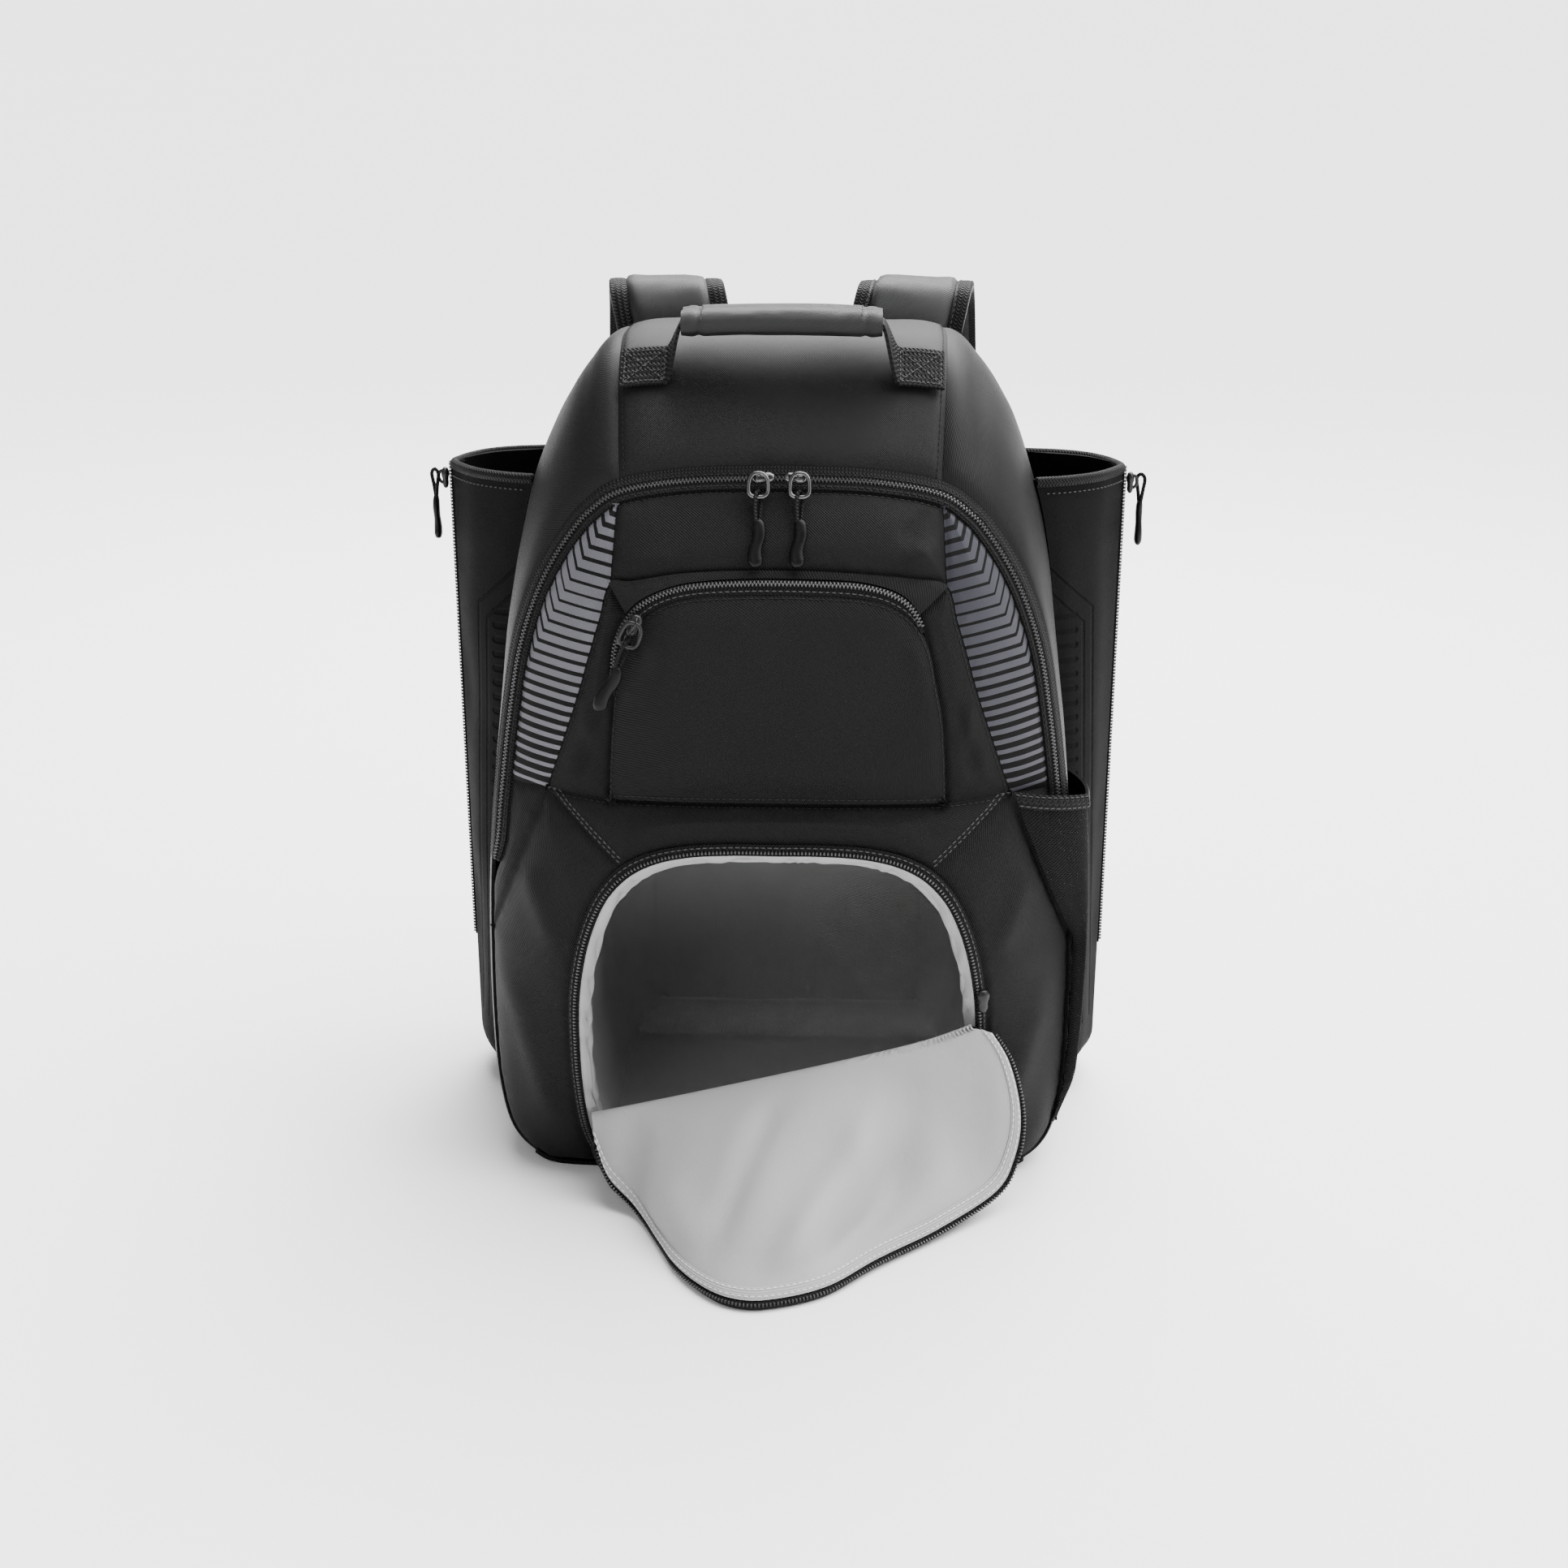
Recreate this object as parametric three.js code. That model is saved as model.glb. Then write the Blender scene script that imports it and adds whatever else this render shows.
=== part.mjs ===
import * as THREE from 'three';

// A baseball bat backpack in millimetres, standing on its base with its front towards -Y.
// The origin is the middle of the underside, +X is to the right in the front view and +Z is up.

// Overall form of the bag
const bagWidth = 338;
const bagHeight = 470;
const seamReach = 73;
const backReach = 95;
const crestAt = 20;
const crownReach = 132;
const pillowCentre = 200;
const gussetFullness = 2.3;

// Cloth, padding and the clearance between sewn pieces
const clothWall = 2;
const gussetWall = 2.4;
const linerWall = 1.5;
const backPad = 8;
const pocketPad = 4;
const pocketLift = 3;
const seamGap = 0.3;
const clothFold = 4;
const cornerTrim = 1.6;

// Zips: tape widths and the places where they end, as row numbers of the outline
const zipWidth = 7.5;
const zipWall = 1.6;
const zipEndRow = 10.5;
const shoulderRow = 2;
const cornerRow = 16;
const stripEndRow = 11.5;
const chevronEndRow = 9.15;

// Front pocket, placed on its lower seam
const pocketSeamHeight = bagHeight * 0.4947;
const pocketHalfWidth = 91;
const pocketHeight = bagHeight * 0.266;
const chevronTopRow = 2.2;

// Shoe compartment and its fold-down door
const openingHalfWidth = 117;
const openingHeight = bagHeight * 0.4521;
const openingTape = 6;
const chamberClear = 4;
const doorWall = 3;
const doorFoldRadius = 8;
const doorFoldLow = 46;
const doorFoldHigh = 110;
const doorReach = 112;

// Bat sleeves
const sleeveSpan = 389;
const sleeveTaper = 0.5;
const sleeveTop = bagHeight * 0.83;
const sleeveFoot = 8;
const sleeveFootRadius = 22;
const sleeveFrontAt = -6;
const sleeveDepth = 84;
const sleeveWall = 3;
const hemHeight = 5.5;
const hemWall = 3.6;
const sleeveZipLength = sleeveTop * 0.77;
const sleeveZipWidth = 6;
const ridgeShare = 0.5;

// Mesh bottle pocket on the right
const bottleTop = bagHeight * 0.502;
const bottleFoot = 26;
const bottleReach = 11;
const bottleWall = 1.4;
const bindingHeight = 9;
const bottleDrop = 14;
const bottleBackAt = -14;
const bottleTurn = 0.45;
const bottleFootReach = 0.3;

// Carry handle
const webWidth = 25;
const webWall = 1.8;
const gripLength = 108;
const gripDepth = 28;
const gripHeight = 15;
const handleAt = -24;
const handleRise = 21;
const webReach = 88;
const webPatch = 24;
const handleArch = 4;
const gripWrap = 1.5;

// Shoulder straps
const strapWidth = 66;
const strapPad = 10;
const strapCentre = 68;
const strapSpread = 30;
const strapCrest = bagHeight * 1.017;
const strapDrop = 300;
const strapStandOff = 62;
const strapWebWidth = 25;
const strapAnchorHeight = 36;
const strapAnchorAcross = 128;
const adjusterHeight = 34;
const adjusterBar = 4;
const adjusterSlot = 7;
const adjusterWall = 4;
const adjusterTaper = 1.3;
const webLanding = 0.85;

// Zip pulls: slider body, wire ring, doubled cord and rubber grip
const sliderLength = 12;
const sliderWidth = 8;
const sliderHeight = 5;
const sliderNose = 0.6;
const ringWire = 1.3;
const ringLength = 13;
const ringWidth = 9;
const cordDiameter = 1.8;
const cordLength = 14;
const pullLength = 24;
const pullWidth = 7.5;
const pullWall = 4.5;
const pullSpacing = 22;
const pullLie = 0.9;
const pullSeat = 0.95;
const pocketPullRow = 5.4;
const pocketPullLean = 0.4;
const pocketPullTilt = 0.12;

const materials = {
  twill: new THREE.MeshStandardMaterial({ color: '#2b2b2c', roughness: 0.78, metalness: 0 }),
  gusset: new THREE.MeshStandardMaterial({ color: '#343436', roughness: 0.6, metalness: 0 }),
  chevron: new THREE.MeshStandardMaterial({ color: '#77777f', roughness: 0.55, metalness: 0 }),
  tape: new THREE.MeshStandardMaterial({ color: '#1d1d1e', roughness: 0.7, metalness: 0 }),
  lining: new THREE.MeshStandardMaterial({ color: '#c2c2c2', roughness: 0.6, metalness: 0 }),
  neoprene: new THREE.MeshStandardMaterial({ color: '#1c1c1d', roughness: 0.85, metalness: 0 }),
  mesh: new THREE.MeshStandardMaterial({ color: '#252526', roughness: 0.8, metalness: 0 }),
  webbing: new THREE.MeshStandardMaterial({ color: '#303031', roughness: 0.75, metalness: 0 }),
  padding: new THREE.MeshStandardMaterial({ color: '#2e2e2f', roughness: 0.7, metalness: 0 }),
  gunmetal: new THREE.MeshStandardMaterial({ color: '#4a4b4e', roughness: 0.3, metalness: 0.9 }),
  rubber: new THREE.MeshStandardMaterial({ color: '#141415', roughness: 0.5, metalness: 0 }),
  plastic: new THREE.MeshStandardMaterial({ color: '#18181a', roughness: 0.45, metalness: 0 }),
};

// Half outline of the bag from the top centre round to the base centre.
// Across and up are shares of half the width and of the height; ahead is a share of seamReach.
const outlineColumns = [
  'seamAcross', 'seamUp', 'seamAhead', 'crestAcross', 'crestUp', 'backAcross', 'backUp'];
const outlineRows = [
  [0.000, 0.866, 0.795, 0.000, 1.000, 0.000, 0.981],
  [0.284, 0.863, 0.795, 0.296, 1.000, 0.296, 0.981],
  [0.515, 0.850, 0.808, 0.538, 0.994, 0.533, 0.976],
  [0.633, 0.824, 0.829, 0.651, 0.957, 0.639, 0.940],
  [0.716, 0.789, 0.849, 0.734, 0.913, 0.716, 0.896],
  [0.787, 0.747, 0.877, 0.799, 0.862, 0.781, 0.847],
  [0.840, 0.702, 0.904, 0.852, 0.804, 0.834, 0.791],
  [0.882, 0.651, 0.932, 0.888, 0.734, 0.873, 0.726],
  [0.914, 0.587, 0.959, 0.914, 0.649, 0.899, 0.645],
  [0.944, 0.511, 0.979, 0.941, 0.549, 0.923, 0.547],
  [0.967, 0.436, 0.993, 0.964, 0.453, 0.947, 0.453],
  [0.985, 0.351, 1.000, 0.985, 0.357, 0.964, 0.357],
  [0.994, 0.255, 1.000, 0.997, 0.257, 0.976, 0.257],
  [0.994, 0.166, 1.014, 1.000, 0.166, 0.982, 0.166],
  [0.982, 0.094, 1.041, 0.994, 0.091, 0.976, 0.091],
  [0.935, 0.038, 1.151, 0.959, 0.034, 0.941, 0.034],
  [0.846, 0.011, 1.260, 0.882, 0.007, 0.870, 0.007],
  [0.722, 0.000, 1.315, 0.757, 0.000, 0.751, 0.000],
  [0.355, 0.000, 1.356, 0.355, 0.000, 0.355, 0.000],
  [0.000, 0.000, 1.370, 0.000, 0.000, 0.000, 0.000],
];

// How far the middle of the front stands ahead, as a share of crownReach, against height.
const crownColumns = ['up', 'ahead'];
const crownRows = [
  [0.000, 0.955],
  [0.064, 0.973],
  [0.170, 1.004],
  [0.298, 1.000],
  [0.394, 0.977],
  [0.457, 0.909],
  [0.500, 0.830],
  [0.638, 0.826],
  [0.745, 0.848],
  [1.000, 0.848],
];
const crownPower = 4;

// Half mouth of the shoe compartment, from its top centre down to the floor.
const openingColumns = ['across', 'up'];
const openingRows = [
  [0.000, 1.000],
  [0.222, 1.000],
  [0.427, 0.993],
  [0.598, 0.972],
  [0.735, 0.932],
  [0.838, 0.868],
  [0.915, 0.776],
  [0.966, 0.673],
  [0.996, 0.555],
  [1.000, 0.433],
  [0.991, 0.292],
  [0.966, 0.160],
  [0.923, 0.066],
  [0.880, 0.014],
];
const diagonalSeamRow = 4;

// Shares of the door's length where it stops standing and where its fold ends
const standShare = 2 / 12;
const foldShare = 5 / 12;

// How the hanging part of the door falls: the power of its drop, its fullness, and its hem
const doorDrop = 1.3;
const doorBelly = 0.9;
const doorHem = 0.025;
const doorSide = 0.01;

// Pocket panel edge and the seam outside it, from the lower left over the top to the lower right.
// tape is the share of the zip's width that lies between the two.
const pocketColumns = ['edgeAcross', 'edgeUp', 'seamAcross', 'seamUp', 'tape'];
const pocketRows = [
  [-1.000, 0.000, -1.404, 0.016, 0.0],
  [-0.989, 0.180, -1.297, 0.236, 0.0],
  [-0.967, 0.380, -1.192, 0.460, 0.0],
  [-0.945, 0.524, -1.121, 0.636, 0.5],
  [-0.907, 0.652, -1.060, 0.780, 1.0],
  [-0.835, 0.764, -0.992, 0.932, 1.0],
  [-0.703, 0.848, -0.857, 0.948, 1.0],
  [-0.505, 0.892, -0.571, 0.984, 1.0],
  [-0.176, 0.908, -0.198, 1.000, 1.0],
  [0.176, 0.908, 0.198, 1.000, 1.0],
  [0.484, 0.896, 0.505, 0.988, 1.0],
  [0.659, 0.864, 0.791, 0.968, 1.0],
  [0.791, 0.800, 0.992, 0.932, 0.5],
  [0.879, 0.684, 1.060, 0.780, 0.0],
  [0.923, 0.540, 1.121, 0.636, 0.0],
  [0.967, 0.380, 1.192, 0.460, 0.0],
  [0.989, 0.180, 1.297, 0.236, 0.0],
  [1.000, 0.000, 1.404, 0.016, 0.0],
];
const pocketLeftCorner = 5;
const pocketRightCorner = 12;
const pocketZipStart = 2;

// Rim of the opened door from the left end of its fold round the tip to the right end.
// Across is a share of openingHalfWidth, ahead of doorReach beyond the bag, up of doorFoldHigh.
const doorColumns = ['across', 'ahead', 'up'];
const doorRows = [
  [-0.880, 0.030, 0.330],
  [-0.800, 0.120, 0.150],
  [-0.650, 0.220, 0.040],
  [-0.515, 0.510, 0.016],
  [-0.425, 0.720, 0.016],
  [-0.300, 0.890, 0.016],
  [-0.165, 0.990, 0.016],
  [0.000, 1.000, 0.016],
  [0.255, 0.885, 0.016],
  [0.495, 0.630, 0.018],
  [0.785, 0.360, 0.035],
  [1.070, 0.100, 0.110],
  [1.165, 0.000, 0.260],
  [1.190, -0.050, 0.480],
  [1.130, -0.090, 0.760],
  [1.020, -0.080, 0.960],
];

// Section of a bat sleeve seen from above, from its front seam round to its back seam.
const sleeveColumns = ['back', 'out'];
const sleeveRows = [
  [0.000, 0.000],
  [0.040, 0.240],
  [0.110, 0.480],
  [0.220, 0.720],
  [0.380, 0.920],
  [0.490, 1.000],
  [0.620, 0.950],
  [0.760, 0.840],
  [0.880, 0.660],
  [0.960, 0.380],
  [1.000, 0.000],
];

// Side view of a shoulder strap: back and drop are shares of strapStandOff and strapDrop.
const strapColumns = ['back', 'drop', 'spread', 'width'];
const strapRows = [
  [0.00, 0.140, 0.00, 1.00],
  [0.01, 0.070, 0.04, 1.00],
  [0.13, 0.018, 0.16, 1.00],
  [0.34, 0.000, 0.25, 1.00],
  [0.62, 0.012, 0.32, 1.00],
  [0.86, 0.070, 0.38, 1.00],
  [0.98, 0.200, 0.45, 1.00],
  [1.00, 0.400, 0.60, 0.97],
  [0.93, 0.620, 0.78, 0.92],
  [0.78, 0.820, 0.92, 0.84],
  [0.60, 1.000, 1.00, 0.72],
];

const group = new THREE.Group();

// Turns a table into one record per row.
function readTable(columns, rows) {
  return rows.map((row) => Object.fromEntries(columns.map((name, i) => [name, row[i]])));
}

// Smooth curve through points, evaluated by row number.
function rowCurve(points) {
  const curve = new THREE.CatmullRomCurve3(points, false, 'catmullrom', 0.5);
  return (row) => curve.getPoint(Math.min(Math.max(row / (points.length - 1), 0), 1));
}

// Value of a table column at a height, straight between its rows.
function tableValue(points, at) {
  const next = points.findIndex(([key]) => key >= at);
  if (next <= 0) return next === 0 ? points[0][1] : points[points.length - 1][1];
  const [k0, v0] = points[next - 1];
  const [k1, v1] = points[next];
  return v0 + ((v1 - v0) * (at - k0)) / (k1 - k0);
}

function mix(a, b, share) {
  return a + (b - a) * share;
}

// Point at a distance share along a polyline of plane points.
function alongLine(points, share) {
  const steps = [0];
  for (let i = 1; i < points.length; i += 1) {
    steps.push(steps[i - 1] + points[i].distanceTo(points[i - 1]));
  }
  const at = share * steps[steps.length - 1];
  const i = Math.min(Math.max(steps.findIndex((step) => step >= at), 1), points.length - 1);
  return points[i - 1].clone().lerp(points[i], (at - steps[i - 1]) / (steps[i] - steps[i - 1]));
}

const halfWidth = bagWidth / 2;
const outline = readTable(outlineColumns, outlineRows);
const seamCurve = rowCurve(outline.map((row) => new THREE.Vector3(
  row.seamAcross * halfWidth, -row.seamAhead * seamReach, row.seamUp * bagHeight)));
const crestCurve = rowCurve(outline.map((row) => new THREE.Vector3(
  row.crestAcross * halfWidth, crestAt, row.crestUp * bagHeight)));
const backCurve = rowCurve(outline.map((row) => new THREE.Vector3(
  row.backAcross * halfWidth, backReach, row.backUp * bagHeight)));
const lastRow = outlineRows.length - 1;

// Outline row on either side: rows count down the right side, negative ones the left.
function ringPoint(curve, row, inset) {
  const side = row < 0 ? -1 : 1;
  const at = Math.abs(row);
  const point = curve(at);
  const before = curve(Math.max(at - 0.05, 0));
  const after = curve(Math.min(at + 0.05, lastRow));
  const run = new THREE.Vector2(after.x - before.x, after.z - before.z).normalize();
  point.x = Math.max(point.x + run.y * inset, 0) * side;
  point.z = Math.max(point.z, 0) - run.x * inset;
  return point;
}

// Gusset surface: depth runs from 0 at the front seam to 1 at the back seam.
function gussetPoint(row, depth, inset) {
  const seam = ringPoint(seamCurve, row, inset);
  const crest = ringPoint(crestCurve, row, inset);
  const back = ringPoint(backCurve, row, inset);
  const turn = (crest.y - seam.y) / (back.y - seam.y);
  if (depth <= turn) {
    const rise = 1 - Math.max(1 - depth / turn, 0) ** gussetFullness;
    return new THREE.Vector3(
      mix(seam.x, crest.x, rise), mix(seam.y, back.y, depth), mix(seam.z, crest.z, rise));
  }
  const fall = ((depth - turn) / (1 - turn)) ** 2;
  return new THREE.Vector3(
    mix(crest.x, back.x, fall), mix(seam.y, back.y, depth), mix(crest.z, back.z, fall));
}

// Half width of the gusset at a depth and height below the shoulders.
function gussetHalfWidth(y, z) {
  const steps = 40;
  let best = 0;
  let previous = null;
  for (let i = 0; i <= steps; i += 1) {
    const row = mix(shoulderRow, cornerRow + 1, i / steps);
    const front = ringPoint(seamCurve, row, 0).y;
    const depth = (y - front) / (backReach - front);
    const point = gussetPoint(row, Math.min(Math.max(depth, 0), 1), 0);
    if (previous && previous.z >= z && point.z <= z) {
      best = mix(previous.x, point.x, (previous.z - z) / (previous.z - point.z));
      return best;
    }
    previous = point;
  }
  return previous.x;
}

// Front surface: a pillow between its seam and the crown line up the middle.
const crownTable = readTable(crownColumns, crownRows).map((row) => [
  row.up * bagHeight, -row.ahead * crownReach]);
const seamSweep = Array.from({ length: 161 }, (_, i) => {
  const point = seamCurve((i / 160) * lastRow);
  const z = Math.max(point.z, 0) - pillowCentre;
  return { angle: Math.atan2(point.x, z), radius: Math.hypot(point.x, z), y: point.y };
});
function frontDepth(x, z) {
  const angle = Math.atan2(Math.abs(x), z - pillowCentre);
  const next = Math.max(seamSweep.findIndex((sample) => sample.angle >= angle), 1);
  const a = seamSweep[next - 1];
  const b = seamSweep[next];
  const share = Math.min((angle - a.angle) / (b.angle - a.angle), 1);
  const reach = Math.hypot(x, z - pillowCentre) / mix(a.radius, b.radius, share);
  const fall = Math.min(reach, 1) ** crownPower;
  return mix(tableValue(crownTable, z), mix(a.y, b.y, share), fall);
}

function addMesh(name, geometry, material) {
  const mesh = new THREE.Mesh(geometry, material);
  mesh.name = name;
  group.add(mesh);
  return mesh;
}

// Flips a closed mesh whose volume comes out negative, so that its faces point out.
function solidGeometry(positions, faces) {
  let volume = 0;
  const at = (i) => new THREE.Vector3(positions[i * 3], positions[i * 3 + 1], positions[i * 3 + 2]);
  faces.forEach(([a, b, c]) => {
    volume += at(a).dot(at(b).cross(at(c)));
  });
  const geometry = new THREE.BufferGeometry();
  geometry.setAttribute('position', new THREE.Float32BufferAttribute(positions, 3));
  geometry.setIndex(faces.flatMap(([a, b, c]) => (volume > 0 ? [a, b, c] : [a, c, b])));
  geometry.computeVertexNormals();
  return geometry;
}

// Sheet with a thickness: outer and inner are functions of two shares across and along the sheet.
function sheetSolid(outer, inner, across, along) {
  const positions = [];
  const index = [[], []];
  [outer, inner].forEach((surface, side) => {
    for (let j = 0; j <= along; j += 1) {
      for (let i = 0; i <= across; i += 1) {
        const point = surface(i / across, j / along);
        index[side].push(positions.length / 3);
        positions.push(point.x, point.y, point.z);
      }
    }
  });
  const faces = [];
  const quad = (a, b, c, d) => faces.push([a, b, c], [a, c, d]);
  const width = across + 1;
  for (let j = 0; j < along; j += 1) {
    for (let i = 0; i < across; i += 1) {
      const k = j * width + i;
      quad(index[0][k], index[0][k + 1], index[0][k + width + 1], index[0][k + width]);
      quad(index[1][k], index[1][k + width], index[1][k + width + 1], index[1][k + 1]);
    }
  }
  const rim = [];
  for (let i = 0; i < across; i += 1) rim.push(i);
  for (let j = 0; j < along; j += 1) rim.push(j * width + across);
  for (let i = across; i > 0; i -= 1) rim.push(along * width + i);
  for (let j = along; j > 0; j -= 1) rim.push(j * width);
  rim.forEach((k, n) => {
    const next = rim[(n + 1) % rim.length];
    quad(index[0][next], index[0][k], index[1][k], index[1][next]);
  });
  return solidGeometry(positions, faces);
}

// Closed-loop sections carried along a path: one outer loop, and an inner one for a sleeve.
function loopSolid(outer, inner, around, along) {
  const positions = [];
  const loops = inner ? [outer, inner] : [outer];
  const index = loops.map((surface) => {
    const ids = [];
    for (let j = 0; j <= along; j += 1) {
      for (let i = 0; i < around; i += 1) {
        const point = surface(i / around, j / along);
        ids.push(positions.length / 3);
        positions.push(point.x, point.y, point.z);
      }
    }
    return ids;
  });
  const faces = [];
  const quad = (a, b, c, d) => faces.push([a, b, c], [a, c, d]);
  for (let j = 0; j < along; j += 1) {
    for (let i = 0; i < around; i += 1) {
      const a = j * around + i;
      const b = j * around + ((i + 1) % around);
      quad(index[0][a], index[0][b], index[0][b + around], index[0][a + around]);
      if (inner) quad(index[1][a], index[1][a + around], index[1][b + around], index[1][b]);
    }
  }
  [0, along].forEach((j) => {
    for (let i = 0; i < around; i += 1) {
      const a = j * around + i;
      const b = j * around + ((i + 1) % around);
      if (inner) {
        if (j === 0) quad(index[0][b], index[0][a], index[1][a], index[1][b]);
        else quad(index[0][a], index[0][b], index[1][b], index[1][a]);
      } else if (i > 0 && i < around - 1) {
        faces.push(j === 0 ? [index[0][j * around], index[0][b], index[0][a]]
          : [index[0][j * around], index[0][a], index[0][b]]);
      }
    }
  });
  return solidGeometry(positions, faces);
}

// Bowl open at its first ring: rings of the outer and inner wall, closed at the far end.
function bowlSolid(ring, around, depths) {
  const positions = [];
  const put = (point) => {
    positions.push(point.x, point.y, point.z);
    return positions.length / 3 - 1;
  };
  const faces = [];
  const quad = (a, b, c, d) => faces.push([a, b, c], [a, c, d]);
  const walls = [0, 1].map((wall) => depths.map((depth) => Array.from(
    { length: around }, (_, i) => put(ring(i / around, depth, wall)))));
  walls.forEach((rings, wall) => {
    rings.slice(1).forEach((loop, j) => loop.forEach((_, i) => {
      const k = (i + 1) % around;
      if (wall === 0) quad(rings[j][i], loop[i], loop[k], rings[j][k]);
      else quad(rings[j][i], rings[j][k], loop[k], loop[i]);
    }));
    const last = rings[rings.length - 1];
    const centre = new THREE.Vector3();
    last.forEach((id) => centre.add(
      new THREE.Vector3(positions[id * 3], positions[id * 3 + 1], positions[id * 3 + 2])));
    const hub = put(centre.multiplyScalar(1 / around));
    last.forEach((id, i) => {
      const k = (i + 1) % around;
      faces.push(wall === 0 ? [id, hub, last[k]] : [id, last[k], hub]);
    });
  });
  walls[0][0].forEach((id, i) => {
    const k = (i + 1) % around;
    quad(id, walls[0][0][k], walls[1][0][k], walls[1][0][i]);
  });
  return solidGeometry(positions, faces);
}

// Panel of the front between two seam lines in the x-z plane, set back by clothWall.
function frontPanel(name, lineA, lineB, across, steps, options = {}) {
  const { lift = 0, wall = clothWall, material = materials.twill } = options;
  const { trimStart = seamGap / 2, trimEnd = seamGap / 2 } = options;
  const length = lineA.length - 1;
  const along = length * steps;
  const segment = (i) => Math.max(
    lineA[i].distanceTo(lineA[i + 1]), lineB[i].distanceTo(lineB[i + 1]));
  const place = (u, v) => {
    const row = THREE.MathUtils.clamp(
      v * length, trimStart / segment(0), length - trimEnd / segment(length - 1));
    const i = Math.min(Math.floor(row), length - 1);
    const a = lineA[i].clone().lerp(lineA[i + 1], row - i);
    const b = lineB[i].clone().lerp(lineB[i + 1], row - i);
    const edge = seamGap / 2 / Math.max(a.distanceTo(b), seamGap * 2);
    return a.lerp(b, mix(edge, 1 - edge, u));
  };
  const surface = (back) => (u, v) => {
    const { x, y: z } = place(u, v);
    return new THREE.Vector3(x, frontDepth(x, z) - lift + back, z);
  };
  return addMesh(name, sheetSolid(surface(0), surface(wall), across, along), material);
}

// Seam lines of the front in the x-z plane
const plane = (x, z) => new THREE.Vector2(x, z);
const mirrored = (line) => line.map((point) => plane(-point.x, point.y));
const wallInset = gussetWall + seamGap;
const zipInset = wallInset + zipWidth + seamGap * 2;
function panelInset(row) {
  const share = THREE.MathUtils.smoothstep(Math.abs(row), zipEndRow - 0.5, zipEndRow + 0.5);
  return mix(zipInset, wallInset, share);
}
function panelEdge(row) {
  const point = ringPoint(seamCurve, row, panelInset(row));
  return plane(point.x, point.z);
}
const spread = (from, to, count) => Array.from(
  { length: count + 1 }, (_, i) => mix(from, to, i / count));

const pocket = readTable(pocketColumns, pocketRows);
const pocketPoint = (across, up) => plane(across * pocketHalfWidth, pocketSeamHeight + up * pocketHeight);
const pocketEdge = pocket.map((row) => pocketPoint(row.edgeAcross, row.edgeUp));
const pocketSeam = pocket.map((row) => pocketPoint(row.seamAcross, row.seamUp));
const tapeOuter = pocketEdge.map((point, i) => {
  const toSeam = pocketSeam[i].clone().sub(point).normalize();
  return point.clone().addScaledVector(toSeam, pocket[i].tape * zipWidth);
});

const stripTop = pocketSeam[pocketSeam.length - 1];
const stripEnd = panelEdge(stripEndRow);
const stripSeamLine = spread(0, 1, 5).map((share) => stripTop.clone().lerp(stripEnd, share));
const sewnFoot = stripEnd.y;

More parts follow.
